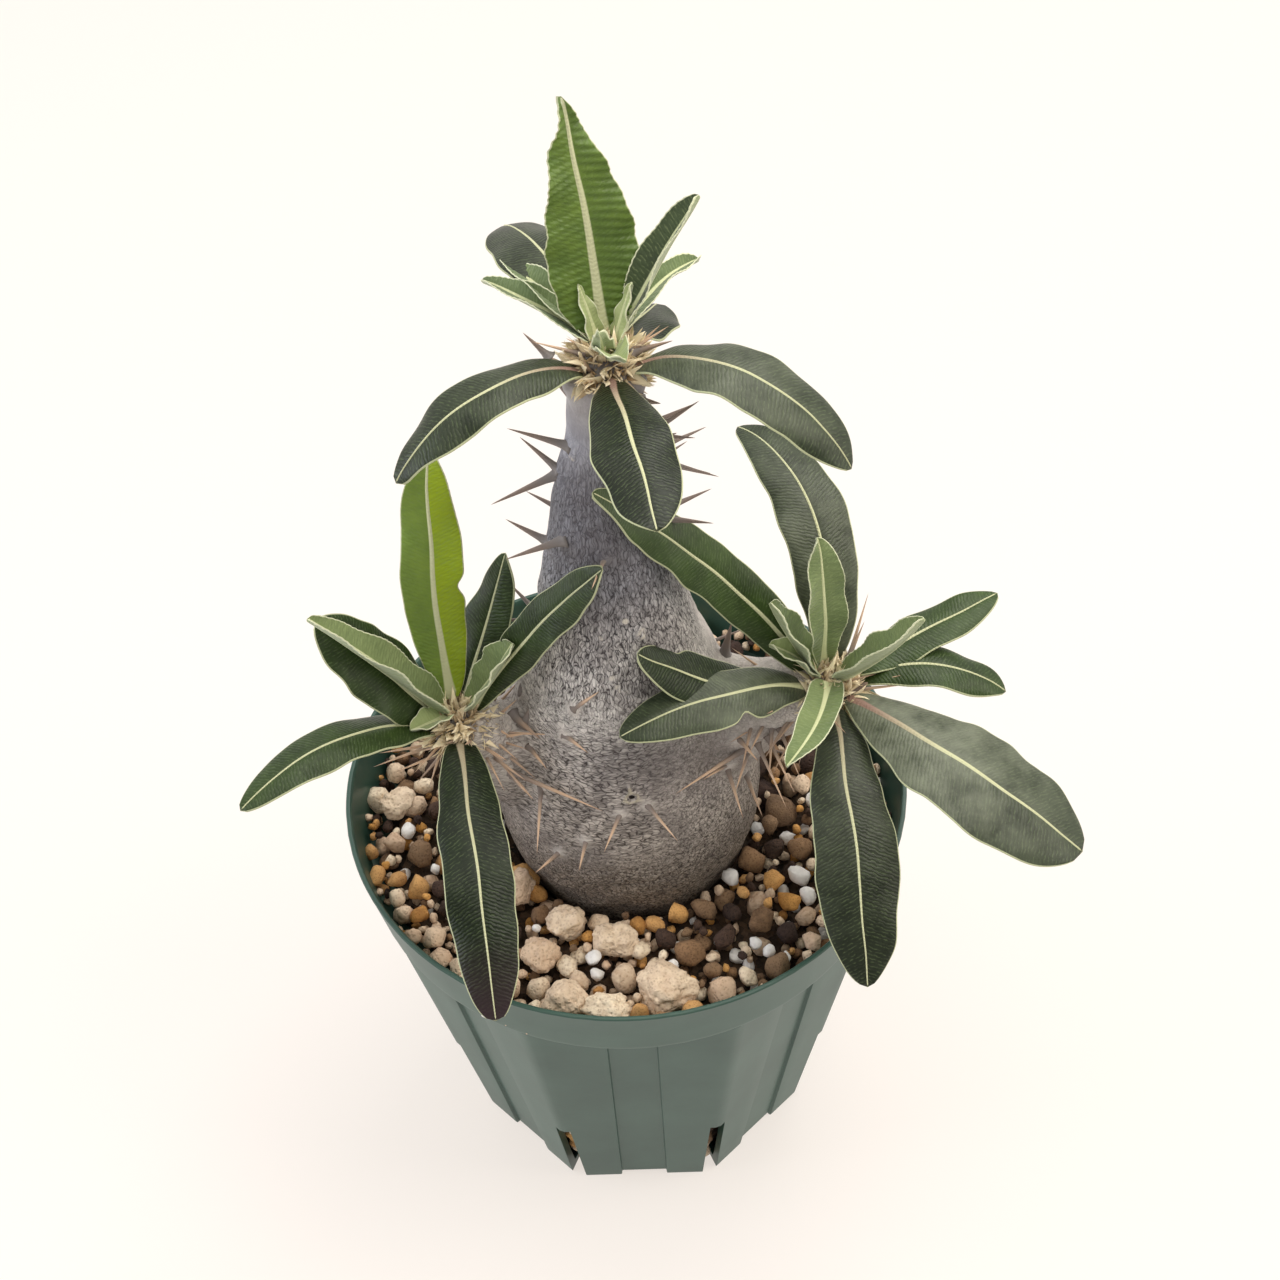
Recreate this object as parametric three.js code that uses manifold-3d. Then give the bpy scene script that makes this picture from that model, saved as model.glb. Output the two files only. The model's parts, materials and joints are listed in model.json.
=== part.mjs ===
// A young Pachypodium cactipes, a caudex-forming succulent, growing in a plastic slit pot.
// Sizes are in millimetres and angles in degrees. +Z is up, and the origin is the centre of the pot's foot.
// A heading of 0 points to the front (-Y), and a heading of 90 points to the right (+X).
import * as THREE from "three";
import { mergeVertices } from "three/addons/utils/BufferGeometryUtils.js";
import Module from "manifold-3d";

// Driving dimensions of the pot
const POT_HEIGHT = 100;
const RIM_RADIUS = 60;
const FOOT_RADIUS = 40.5;
const WALL_SLOPE = (RIM_RADIUS - FOOT_RADIUS) / POT_HEIGHT;
const BAND_BOTTOM = 84.5;
const LEDGE = 1.5;
const WALL = 2;
const LIP = 1.4;
const FLOOR = 2;
const FACETS = 8;
const POT_TURN = -2.5;
const STRIP_WIDTH = 10.4;
const STRIP_DEPTH = 0.8;
const SLIT_WIDTH = 3.5;
const SLIT_HEIGHT = 28.5;
const SLIT_INNER_RADIUS = 20;

// Driving dimensions of what the pot holds
const GAP = 0.3;
const MIX_TOP = 90;
const LEAF_THICKNESS = 1.2;
const LEAF_EDGE = 0.4;
const PETIOLE = 2.4;
const SPINE_RADIUS = 0.9;
const TOP_HEAD = [1.5, 0, 222];
const LEFT_HEAD = [-33, -10, 138];
const RIGHT_HEAD = [42, -8, 139];

const wasm = await Module();
wasm.setup();

const radians = THREE.MathUtils.degToRad;
const potRadius = (z) => FOOT_RADIUS + WALL_SLOPE * z;
const facetCosine = Math.cos(Math.PI / FACETS);

// A unit vector along a heading, raised above the horizontal.
function direction(heading, rise) {
  const flat = Math.cos(radians(rise));
  return new THREE.Vector3(
    flat * Math.sin(radians(heading)),
    -flat * Math.cos(radians(heading)),
    Math.sin(radians(rise)),
  );
}

// A closed geometry as a solid that can be joined and cut, its faces turned outwards.
function solid(geometry) {
  const bare = geometry.clone();
  bare.deleteAttribute("normal");
  bare.deleteAttribute("uv");
  const merged = mergeVertices(bare, 1e-4);
  const corners = [];
  for (let i = 0; i < merged.index.count; i += 3) {
    const [a, b, c] = [0, 1, 2].map((k) => merged.index.getX(i + k));
    if (a !== b && b !== c && c !== a) corners.push(a, b, c);
  }
  const make = (list) =>
    new wasm.Manifold(
      new wasm.Mesh({
        numProp: 3,
        vertProperties: new Float32Array(merged.attributes.position.array),
        triVerts: new Uint32Array(list),
      }),
    );
  const made = make(corners);
  return made.volume() > 0 ? made : make(corners.reverse());
}

// The largest body of a solid as a named mesh.
function piece(name, made, color, roughness) {
  const body = made.decompose().reduce((a, b) => (a.volume() > b.volume() ? a : b));
  const { vertProperties, triVerts } = body.getMesh();
  const geometry = new THREE.BufferGeometry();
  geometry.setAttribute("position", new THREE.BufferAttribute(vertProperties, 3));
  geometry.setIndex(new THREE.BufferAttribute(triVerts, 1));
  const flat = geometry.toNonIndexed();
  flat.computeVertexNormals();
  const material = new THREE.MeshStandardMaterial({ color, roughness, metalness: 0 });
  const mesh = new THREE.Mesh(flat, material);
  mesh.name = name;
  return mesh;
}

// A closed skin over rings of points, drawn to a point at both ends.
function loft(start, rings, end) {
  const size = rings[0].length;
  const points = [start, ...rings.flat(), end];
  const last = points.length - 1;
  const index = [];
  for (let k = 0; k < size; k++) {
    const next = (k + 1) % size;
    index.push(0, 1 + next, 1 + k);
    index.push(last, last - size + k, last - size + next);
    for (let r = 0; r + 1 < rings.length; r++) {
      const low = 1 + r * size;
      const high = low + size;
      index.push(low + k, low + next, high + next);
      index.push(low + k, high + next, high + k);
    }
  }
  const geometry = new THREE.BufferGeometry().setFromPoints(points);
  geometry.setIndex(index);
  return solid(geometry);
}

// A frustum standing on the Z axis; eight sides make the pot's facets.
function frustum(lowRadius, highRadius, bottom, top, sides) {
  const height = top - bottom;
  const geometry = new THREE.CylinderGeometry(highRadius, lowRadius, height, sides);
  geometry.rotateX(Math.PI / 2);
  geometry.translate(0, 0, bottom + height / 2);
  geometry.rotateZ(radians(POT_TURN + 180 / FACETS));
  return solid(geometry);
}

// The pot: a round band over an eight-sided body, with a sunk strip on each facet and a slit at each corner.
function makePot() {
  const inset = WALL / facetCosine;
  const ledgeTop = BAND_BOTTOM + LEDGE;
  let pot = frustum(potRadius(0), potRadius(ledgeTop), 0, ledgeTop, FACETS);
  pot = pot.add(frustum(potRadius(BAND_BOTTOM), RIM_RADIUS, BAND_BOTTOM, POT_HEIGHT, 64));
  const above = POT_HEIGHT + 1;
  const facetTop = ledgeTop + 1;
  pot = pot.subtract(
    frustum(potRadius(FLOOR) - inset, potRadius(facetTop) - inset, FLOOR, facetTop, FACETS),
  );
  pot = pot.subtract(
    frustum(potRadius(ledgeTop) - LIP, potRadius(above) - LIP, ledgeTop, above, 64),
  );
  const facetSlope = Math.atan(WALL_SLOPE * facetCosine);
  for (let k = 0; k < FACETS; k++) {
    const turn = POT_TURN + (k * 360) / FACETS;
    const strip = new THREE.BoxGeometry(STRIP_WIDTH, 10, 2 * BAND_BOTTOM);
    strip.translate(0, -5 + STRIP_DEPTH, 0);
    strip.rotateX(facetSlope);
    strip.translate(0, -potRadius(0) * facetCosine, 0);
    strip.rotateZ(radians(turn));
    const below = frustum(2 * RIM_RADIUS, 2 * RIM_RADIUS, -LEDGE, BAND_BOTTOM, 4);
    pot = pot.subtract(solid(strip).intersect(below));
    const length = RIM_RADIUS;
    const slit = new THREE.BoxGeometry(SLIT_WIDTH, length, 2 * SLIT_HEIGHT);
    slit.translate(0, -SLIT_INNER_RADIUS - length / 2, 0);
    slit.rotateZ(radians(turn + 180 / FACETS));
    pot = pot.subtract(solid(slit));
  }
  return pot;
}

// Heights along the stem's axis, with the radius there and how far the axis leans to the right.
const STEM = [
  { z: 74, radius: 18, lean: 0.2 },
  { z: 82, radius: 23.5, lean: 0.5 },
  { z: 90, radius: 25.8, lean: 0.8 },
  { z: 98, radius: 27.6, lean: 0.8 },
  { z: 106, radius: 28, lean: 0.6 },
  { z: 114, radius: 27.2, lean: 0.5 },
  { z: 122, radius: 25.4, lean: 0.4 },
  { z: 130, radius: 23, lean: 0.3 },
  { z: 138, radius: 20.5, lean: 0.2 },
  { z: 146, radius: 18, lean: 0.1 },
  { z: 154, radius: 15.8, lean: 0 },
  { z: 162, radius: 13.7, lean: -0.3 },
  { z: 170, radius: 12.2, lean: -0.9 },
  { z: 178, radius: 11, lean: -0.9 },
  { z: 186, radius: 9.8, lean: -0.6 },
  { z: 194, radius: 8.4, lean: -0.4 },
  { z: 202, radius: 6.7, lean: -0.2 },
  { z: 208, radius: 6.1, lean: 0 },
  { z: 213, radius: 6.8, lean: 0.6 },
  { z: 217, radius: 6.6, lean: 1.2 },
  { z: 220, radius: 4.4, lean: 1.5 },
];
const STEM_BOTTOM = 68;
const STEM_TOP = 222;

// The branches leave the shoulder of the swollen base and end in a head of leaves.
const LEFT_BRANCH = [
  { at: [-12, -3, 112], radius: 15 },
  { at: [-21, -6, 121], radius: 11.5 },
  { at: [-28, -8.5, 129], radius: 8.2 },
  { at: [-32, -9.7, 135], radius: 6.8 },
  { at: [-33, -10, 137.5], radius: 4 },
];
const RIGHT_BRANCH = [
  { at: [10, -2, 121], radius: 17 },
  { at: [20, -4, 126], radius: 13.5 },
  { at: [30, -6, 131.5], radius: 8.8 },
  { at: [37.5, -7.2, 135], radius: 7.2 },
  { at: [41, -7.8, 137.5], radius: 4.2 },
];

function circle(center, across, up, radius, sides) {
  const ring = [];
  for (let k = 0; k < sides; k++) {
    const angle = (2 * Math.PI * k) / sides;
    const point = center.clone();
    point.addScaledVector(across, radius * Math.cos(angle));
    point.addScaledVector(up, radius * Math.sin(angle));
    ring.push(point);
  }
  return ring;
}

function makeStem(grow) {
  const east = new THREE.Vector3(1, 0, 0);
  const north = new THREE.Vector3(0, 1, 0);
  const rings = STEM.map(({ z, radius, lean }) =>
    circle(new THREE.Vector3(lean, 0, z), east, north, radius + grow, 24),
  );
  const bottom = new THREE.Vector3(0, 0, STEM_BOTTOM - grow);
  const top = new THREE.Vector3(TOP_HEAD[0], 0, STEM_TOP + grow);
  return loft(bottom, rings, top);
}

function makeBranch(stations, head, grow) {
  const centers = stations.map(({ at }) => new THREE.Vector3(...at));
  const rings = stations.map(({ radius }, i) => {
    const before = centers[Math.max(i - 1, 0)];
    const after = centers[Math.min(i + 1, centers.length - 1)];
    const along = after.clone().sub(before).normalize();
    const across = new THREE.Vector3(0, 0, 1).cross(along).normalize();
    const up = along.clone().cross(across);
    return circle(centers[i], across, up, radius + grow, 16);
  });
  const tip = new THREE.Vector3(...head).add(new THREE.Vector3(0, 0, grow));
  return loft(centers[0].clone().sub(new THREE.Vector3(0, 0, 3)), rings, tip);
}

function makeBody(grow) {
  const left = makeBranch(LEFT_BRANCH, LEFT_HEAD, grow);
  const right = makeBranch(RIGHT_BRANCH, RIGHT_HEAD, grow);
  return makeStem(grow).add(left).add(right);
}

// A spine is a slender cone with a swollen foot, sunk a little into the bark.
function makeSpine(foot, heading, rise, length) {
  const sunk = 1;
  const outline = [
    [0, -sunk],
    [SPINE_RADIUS, -sunk],
    [SPINE_RADIUS, 0.4],
    [0.45, 2.2],
    [0, length],
  ].map(([radius, along]) => new THREE.Vector2(radius, along));
  const geometry = new THREE.LatheGeometry(outline, 5);
  const turn = new THREE.Quaternion().setFromUnitVectors(
    new THREE.Vector3(0, 1, 0),
    direction(heading, rise),
  );
  geometry.applyQuaternion(turn);
  geometry.translate(foot.x, foot.y, foot.z);
  return solid(geometry);
}

function stemRadius(z) {
  const i = STEM.findIndex((station) => station.z > z);
  const [low, high] = [STEM[i - 1], STEM[i]];
  const share = (z - low.z) / (high.z - low.z);
  return low.radius + share * (high.radius - low.radius);
}

// Spines grow in pairs that part to either side of their heading.
const SPINE_PAIRS = [
  { z: 201, heading: -90, rise: 20, part: 25, length: 11 },
  { z: 193, heading: -98, rise: 10, part: 38, length: 12 },
  { z: 178, heading: -85, rise: 15, part: 38, length: 12 },
  { z: 203, heading: 85, rise: 15, part: 20, length: 12 },
  { z: 196, heading: 90, rise: 5, part: 25, length: 13 },
  { z: 181, heading: 88, rise: 10, part: 20, length: 11 },
  { z: 199, heading: 178, rise: 20, part: 35, length: 11 },
  { z: 184, heading: 150, rise: 15, part: 35, length: 12 },
  { z: 172, heading: -150, rise: 20, part: 35, length: 10 },
  { z: 158, heading: 135, rise: 25, part: 30, length: 10 },
  { z: 150, heading: -105, rise: 25, part: 30, length: 9 },
  { z: 145, heading: -35, rise: 25, part: 55, length: 8 },
  { z: 138, heading: 178, rise: 30, part: 40, length: 11 },
  { z: 138, heading: -40, rise: 30, part: 50, length: 8 },
  { z: 124, heading: -42, rise: -5, part: 30, length: 13 },
  { z: 121, heading: 2, rise: 0, part: 28, length: 9 },
  { z: 122, heading: 52, rise: -5, part: 30, length: 12 },
  { z: 122, heading: 140, rise: 10, part: 35, length: 10 },
  { z: 118, heading: -140, rise: 10, part: 35, length: 10 },
  { z: 109, heading: -36, rise: 10, part: 35, length: 7 },
  { z: 110, heading: 172, rise: 5, part: 35, length: 9 },
  { z: 109, heading: 95, rise: 5, part: 30, length: 8 },
];

// Longer pairs ring the neck of each head, under its leaves.
const HEAD_SPINES = [
  { center: [0.6, 0, 214], radius: 6.5, count: 7, first: 25, rise: 12, length: 8 },
  { center: [-30.5, -9.3, 132], radius: 7, count: 7, first: 10, rise: -5, length: 11 },
  { center: [38, -7.3, 134], radius: 7, count: 7, first: 5, rise: -5, length: 11 },
];

function makeSpines() {
  const spines = [];
  for (const { z, heading, rise, part, length } of SPINE_PAIRS) {
    for (const side of [-1, 1]) {
      const foot = direction(heading + side * 4, 0).multiplyScalar(stemRadius(z) - 0.3);
      foot.z = z;
      spines.push(makeSpine(foot, heading + side * part, rise, length));
    }
  }
  for (const { center, radius, count, first, rise, length } of HEAD_SPINES) {
    for (let k = 0; k < count; k++) {
      const heading = first + (k * 360) / count;
      const foot = direction(heading, 0).multiplyScalar(radius - 0.5);
      foot.add(new THREE.Vector3(...center));
      spines.push(makeSpine(foot, heading, rise + 12 * (k % 2), length));
    }
  }
  return spines;
}

// Each leaf starts on its head and runs along a rib that bends down by droop and round by sweep.
// The reach says how far from the middle of the head it starts, and the lift how far above it.
// The fold lifts the blade's edges above the rib, or lets them hang where it is negative.
const OUTER = { reach: 5, lift: -1, fold: -0.2 };
const MIDDLE = { reach: 3.5, lift: 1, fold: -0.1 };
const INNER = { reach: 2, lift: 2.5, fold: 0.1 };
const YOUNG = { reach: 2.5, lift: 2, fold: 0.4 };

const TOP_LEAVES = [
  { ...INNER, heading: 186, rise: 66, droop: -6, sweep: 22, length: 44, width: 15.5, belly: 0.36, taper: 1 },
  { ...OUTER, heading: -157, rise: 32, droop: 72, sweep: -1, length: 44, width: 15, belly: 0.6 },
  { ...OUTER, heading: 178, rise: 4, droop: 42, sweep: -12, length: 40, width: 13, belly: 0.6 },
  { ...OUTER, heading: 158, rise: -20, droop: 12, sweep: 4, length: 28, width: 13, belly: 0.6 },
  { ...YOUNG, heading: 126, rise: 52, droop: -8, sweep: -26, length: 31, width: 6, belly: 0.6 },
  { ...YOUNG, heading: 142, rise: 18, droop: 44, sweep: 2, length: 29, width: 5.5, belly: 0.45 },
  { ...YOUNG, heading: -138, rise: 18, droop: 44, sweep: -20, length: 32, width: 5.5, belly: 0.45 },
  { ...YOUNG, heading: -128, rise: 16, droop: 38, sweep: -16, length: 29, width: 7, belly: 0.4 },
  { ...OUTER, heading: -60, rise: 38, droop: 96, sweep: -2, length: 44, width: 11, belly: 0.55 },
  { ...OUTER, heading: 63, rise: 41, droop: 102, sweep: -8, length: 50, width: 13.5, belly: 0.58 },
  { ...OUTER, heading: 7, rise: 24, droop: 40, sweep: 2, length: 43, width: 14, belly: 0.6 },
  { ...INNER, heading: -140, rise: 72, droop: 10, sweep: 0, length: 11, width: 2.4, belly: 0.4 },
  { ...INNER, heading: 120, rise: 74, droop: 10, sweep: 0, length: 12, width: 2.4, belly: 0.4 },
  { ...INNER, heading: -10, rise: 72, droop: 10, sweep: 0, length: 8, width: 3, belly: 0.4 },
  { ...YOUNG, heading: 15, rise: 45, droop: 30, sweep: 20, length: 8, width: 5.5, belly: 0.5 },
];

const LEFT_LEAVES = [
  { ...INNER, heading: 194, rise: 64, droop: 6, sweep: -26, length: 52, width: 12, belly: 0.55 },
  { ...MIDDLE, heading: 146, rise: 54, droop: -12, sweep: -14, length: 33, width: 10, belly: 0.35 },
  { ...MIDDLE, heading: 94, rise: 61, droop: 9, sweep: -27, length: 52, width: 10, belly: 0.6, roll: 45 },
  { ...YOUNG, heading: 103, rise: 52, droop: -8, sweep: 5, length: 20, width: 6, belly: 0.55 },
  { ...MIDDLE, heading: -82, rise: 60, droop: 10, sweep: -17, length: 36, width: 14, belly: 0.5, roll: -30 },
  { ...OUTER, heading: -61, rise: 47, droop: 69, sweep: 12, length: 48, width: 10.5, belly: 0.55 },
  { ...OUTER, heading: 6, rise: 11, droop: 63, sweep: -2, length: 61, width: 13, belly: 0.58, taper: 0.45 },
  { ...YOUNG, heading: -40, rise: 25, droop: 25, sweep: -30, length: 9, width: 4.5, belly: 0.5 },
  { ...YOUNG, heading: -98, rise: 58, droop: 9, sweep: -8, length: 36, width: 5.5, belly: 0.45 },
];

const RIGHT_LEAVES = [
  { ...MIDDLE, heading: -190, rise: 84, droop: 102, sweep: 51, length: 60, width: 13.5, belly: 0.55 },
  { ...MIDDLE, heading: -112, rise: 56, droop: 4, sweep: 58, length: 74, width: 10.5, belly: 0.5, roll: -45 },
  { ...YOUNG, heading: -130, rise: 45, droop: -14, sweep: 12, length: 22, width: 6, belly: 0.5 },
  { ...YOUNG, heading: 200, rise: 97, droop: 25, sweep: 9, length: 34, width: 8, belly: 0.6 },
  { ...YOUNG, heading: -83, rise: 62, droop: 32, sweep: -12, length: 14, width: 5.5, belly: 0.55 },
  { ...OUTER, heading: -76, rise: 29, droop: -14, sweep: 1, length: 43, width: 10.5, belly: 0.6, roll: -30 },
  { ...OUTER, heading: -66, rise: 23, droop: 21, sweep: -4, length: 42, width: 12, belly: 0.5, roll: -15 },
  { ...YOUNG, heading: -8, rise: 16, droop: 16, sweep: -32, length: 27, width: 6.5, belly: 0.45 },
  { ...OUTER, heading: 3, rise: 1, droop: 63, sweep: -1, length: 60, width: 16, belly: 0.6 },
  { ...OUTER, heading: 40, rise: 16, droop: 50, sweep: 19, length: 58, width: 22, belly: 0.64, taper: 0.5 },
  { ...OUTER, heading: 93, rise: 32, droop: 72, sweep: -22, length: 33, width: 10, belly: 0.58 },
  { ...MIDDLE, heading: 107, rise: 15, droop: 16, sweep: 13, length: 36, width: 10, belly: 0.55 },
  { ...YOUNG, heading: 52, rise: 49, droop: -12, sweep: 27, length: 29, width: 6.5, belly: 0.5 },
];

const HEADS = [
  { name: "top", at: TOP_HEAD, leaves: TOP_LEAVES },
  { name: "left", at: LEFT_HEAD, leaves: LEFT_LEAVES },
  { name: "right", at: RIGHT_HEAD, leaves: RIGHT_LEAVES },
];

// The share of a leaf's full width at a share of its length, 1 at the belly and 0 at both ends.
function leafOutline(share, belly, taper) {
  const foot = (taper * belly) / (1 - belly);
  const most = belly ** foot * (1 - belly) ** taper;
  return (share ** foot * (1 - share) ** taper) / most;
}

// A leaf blade: a shallow V about its rib, which its roll turns round the rib.
function makeLeaf(head, leaf, grow) {
  const { fold, taper = 0.6, roll = 0 } = leaf;
  const steps = 10;
  const point = new THREE.Vector3(...head);
  point.addScaledVector(direction(leaf.heading, 0), leaf.reach);
  point.z += leaf.lift;
  const start = point.clone();
  const rings = [];
  for (let i = 0; i < steps; i++) {
    const middle = (i + 0.5) / steps;
    const rise = leaf.rise - leaf.droop * middle;
    const heading = leaf.heading + leaf.sweep * middle;
    const along = direction(heading, rise);
    point.addScaledVector(along, leaf.length / steps);
    if (i === steps - 1) break;
    const share = (i + 1) / steps;
    const side = direction(heading + 90, 0).applyAxisAngle(along, radians(roll));
    const normal = along.clone().cross(side);
    const blade = leaf.width * leafOutline(share, leaf.belly, taper);
    const half = (PETIOLE * (1 - share) ** 2 + blade) / 2 + grow;
    const section = [
      [half, half * fold + LEAF_EDGE / 2 + grow],
      [0, LEAF_THICKNESS / 2 + grow],
      [-half, half * fold + LEAF_EDGE / 2 + grow],
      [-half, half * fold - LEAF_EDGE / 2 - grow],
      [0, -LEAF_THICKNESS / 2 - grow],
      [half, half * fold - LEAF_EDGE / 2 - grow],
    ];
    rings.push(
      section.map(([out, up]) =>
        point.clone().addScaledVector(side, out).addScaledVector(normal, up),
      ),
    );
  }
  return loft(start, rings, point);
}

// The largest stones on top of the potting mix, each half sunk in it.
const STONES = [
  { at: [6, -47], size: [12.5, 11, 9], turn: 20 },
  { at: [-15, -48.3], size: [9.5, 8, 7], turn: -10 },
  { at: [-6.5, -51], size: [9.5, 6.5, 6], turn: 5 },
  { at: [-14.5, -28.7], size: [9, 7.5, 7], turn: 70 },
  { at: [-4.7, -34], size: [9, 8, 7], turn: 0 },
  { at: [-20, -36.5], size: [7.5, 7.5, 6.5], turn: 40 },
  { at: [-50.5, 5.5], size: [8, 7, 6.5], turn: 10 },
  { at: [-24, -19], size: [8.5, 7, 6.5], turn: 60 },
];

function makeStone({ at, size, turn }, grow) {
  const geometry = new THREE.IcosahedronGeometry(1, 1);
  const [x, y, z] = size.map((whole) => whole / 2 + grow);
  geometry.scale(x, y, z);
  geometry.rotateZ(radians(turn));
  geometry.translate(at[0], at[1], MIX_TOP + 1);
  return solid(geometry);
}

// The mix fills the pot to its ledge and a little way up the band, round the plant and the sunk stones.
function makeMix(body, stones) {
  const inset = (WALL + GAP) / facetCosine;
  const bottom = FLOOR + GAP;
  const neck = BAND_BOTTOM + LEDGE + GAP;
  const low = frustum(potRadius(bottom) - inset, potRadius(neck) - inset, bottom, neck, FACETS);
  const rim = LIP + GAP;
  const high = frustum(potRadius(neck) - rim, potRadius(MIX_TOP) - rim, neck, MIX_TOP, 64);
  return stones.reduce((mix, stone) => mix.subtract(stone), low.add(high).subtract(body));
}

const POT_COLOR = "#4f665e";
const MIX_COLOR = "#8a6a4c";
const BARK_COLOR = "#8a8784";
const LEAF_COLOR = "#3d5a3a";
const YOUNG_LEAF_COLOR = "#7f9a63";
const STONE_COLOR = "#c7ad92";
const YOUNG_LENGTH = 32;

const plant = new THREE.Group();
plant.add(piece("pot", makePot(), POT_COLOR, 0.55));

const grownStones = STONES.map((stone) => makeStone(stone, GAP));
plant.add(piece("potting_mix", makeMix(makeBody(GAP), grownStones), MIX_COLOR, 1));

let caudex = makeBody(0);
for (const spine of makeSpines()) caudex = caudex.add(spine);

// Every leaf keeps clear of the stem and of the leaves made before it.
const taken = [caudex, makeBody(GAP)];
for (const { name, at, leaves } of HEADS) {
  leaves.forEach((leaf, i) => {
    const grown = makeLeaf(at, leaf, GAP);
    caudex = caudex.subtract(grown.subtract(makeBody(0)));
    const made = taken.reduce((left, other) => left.subtract(other), makeLeaf(at, leaf, 0));
    taken.push(grown);
    const color = leaf.length > YOUNG_LENGTH ? LEAF_COLOR : YOUNG_LEAF_COLOR;
    const number = String(i + 1).padStart(2, "0");
    plant.add(piece(`${name}_leaf_${number}`, made, color, 0.6));
  });
}
plant.add(piece("caudex", caudex, BARK_COLOR, 0.8));

STONES.forEach((stone, i) => {
  plant.add(piece(`pumice_stone_${i + 1}`, makeStone(stone, 0), STONE_COLOR, 0.95));
});

export default plant;
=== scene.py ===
# %% [markdown]
# # A young Pachypodium cactipes in a slit pot
# The plant is a swollen grey stem that branches into three heads of long leaves. It grows in gravel, in a
# green plastic pot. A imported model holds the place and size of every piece. This lesson loads it as a fixed
# frame first, because everything made later is built in the same space and so needs no fitting.

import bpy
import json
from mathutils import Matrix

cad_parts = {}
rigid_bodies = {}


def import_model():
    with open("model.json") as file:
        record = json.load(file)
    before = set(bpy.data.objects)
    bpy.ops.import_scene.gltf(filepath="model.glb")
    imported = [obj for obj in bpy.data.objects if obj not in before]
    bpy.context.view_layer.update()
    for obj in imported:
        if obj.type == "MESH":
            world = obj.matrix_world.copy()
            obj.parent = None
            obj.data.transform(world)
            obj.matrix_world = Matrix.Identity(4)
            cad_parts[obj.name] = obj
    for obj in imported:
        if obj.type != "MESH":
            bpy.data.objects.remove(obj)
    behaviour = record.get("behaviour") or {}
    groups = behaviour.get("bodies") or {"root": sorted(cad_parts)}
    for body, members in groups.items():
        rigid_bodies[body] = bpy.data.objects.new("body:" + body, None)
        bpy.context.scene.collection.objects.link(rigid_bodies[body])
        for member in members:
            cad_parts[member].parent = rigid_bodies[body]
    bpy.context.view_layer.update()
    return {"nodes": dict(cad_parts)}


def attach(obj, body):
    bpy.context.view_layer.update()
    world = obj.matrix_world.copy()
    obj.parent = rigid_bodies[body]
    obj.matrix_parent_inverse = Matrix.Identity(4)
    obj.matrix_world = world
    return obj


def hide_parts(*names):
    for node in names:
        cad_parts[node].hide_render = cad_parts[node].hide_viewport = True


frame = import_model()
print("frame:", len(frame["nodes"]), "nodes")

# %% [markdown]
# Blender works in metres, but a pot plant is easier to think about in millimetres. Points are written in
# millimetres here, and one helper turns them to metres when it makes a mesh. A heading of 0 points to the
# front of the plant (-Y) and one of 90 to its right (+X), so a leaf or spine can be given by two angles.

# %% Units, directions and a mesh helper
import json
import math
import random

import bmesh
import bpy
import numpy as np
from mathutils import Matrix, Quaternion, Vector, noise
from mathutils.bvhtree import BVHTree

MM = 0.001
scene = bpy.context.scene


def direction(heading, rise):
    """A unit vector along a heading, raised above the horizontal, both in degrees."""
    flat = math.cos(math.radians(rise))
    east = flat * math.sin(math.radians(heading))
    north = -flat * math.cos(math.radians(heading))
    return Vector((east, north, math.sin(math.radians(rise))))


def mesh_object(name, points, faces):
    """A smooth-shaded mesh object from points in millimetres."""
    mesh = bpy.data.meshes.new(name)
    mesh.from_pydata([Vector(p) * MM for p in points], [], faces)
    mesh.polygons.foreach_set("use_smooth", [True] * len(mesh.polygons))
    mesh.update()
    made = bpy.data.objects.new(name, mesh)
    scene.collection.objects.link(made)
    return made


def paint(obj, name, values):
    """Stores one number for each point of a mesh, for a material to read."""
    attribute = obj.data.attributes.new(name, "FLOAT", "POINT")
    attribute.data.foreach_set("value", np.asarray(values, dtype=np.float32))


def keep(obj, slot, material, *nodes):
    """The last steps for every piece: its material, its body, and the model's nodes it stands for, which are
    hidden. The slot is not used.
    """
    if material:
        obj.data.materials.clear()
        obj.data.materials.append(material)
    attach(obj, "root")
    if nodes:
        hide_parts(*nodes)
    return obj


print("front is", tuple(direction(0, 0)), "and right is", tuple(round(v, 3) for v in direction(90, 0)))

# %% [markdown]
# The camera stands in front of the pot and looks down on it, a little tilted. A long lens, far away, keeps
# the pot's sides nearly straight. Its place comes from the photograph: the rim's ellipse gives the height
# of the view, and the pot's taper gives the distance. The same numbers also run backwards, so that a
# spot in the picture can be turned into a spot on the gravel, which `seen_at` does.

# %% Camera
CAMERA_AT = Vector((0, -333.7, 519.5))
LOOK_AT = Vector((4.8, 0, 145.4))
CAMERA_ROLL = -3.2
PICTURE = 1280
FOCAL_PIXELS = 2500
SENSOR = 36

backward = (CAMERA_AT - LOOK_AT).normalized()
level = Vector((0, 0, 1)).cross(backward).normalized()
camera_right = Quaternion(backward, math.radians(CAMERA_ROLL)) @ level
camera_up = backward.cross(camera_right)

camera_data = bpy.data.cameras.new("camera")
camera_data.sensor_width = SENSOR
camera_data.lens = FOCAL_PIXELS * SENSOR / PICTURE
camera = bpy.data.objects.new("camera", camera_data)
scene.collection.objects.link(camera)
turn = Matrix((camera_right, camera_up, backward)).transposed()
camera.matrix_world = Matrix.LocRotScale(CAMERA_AT * MM, turn.to_quaternion(), None)
scene.camera = camera


def seen_at(across, down, height):
    """The point at a height, in millimetres, that the picture shows at a pixel."""
    ray = camera_right * (across - PICTURE / 2) - camera_up * (down - PICTURE / 2)
    ray -= backward * FOCAL_PIXELS
    return CAMERA_AT + ray * ((height - CAMERA_AT.z) / ray.z)


print("lens", round(camera_data.lens, 1), "mm, middle of the front gravel at", seen_at(640, 960, 91))

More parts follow.
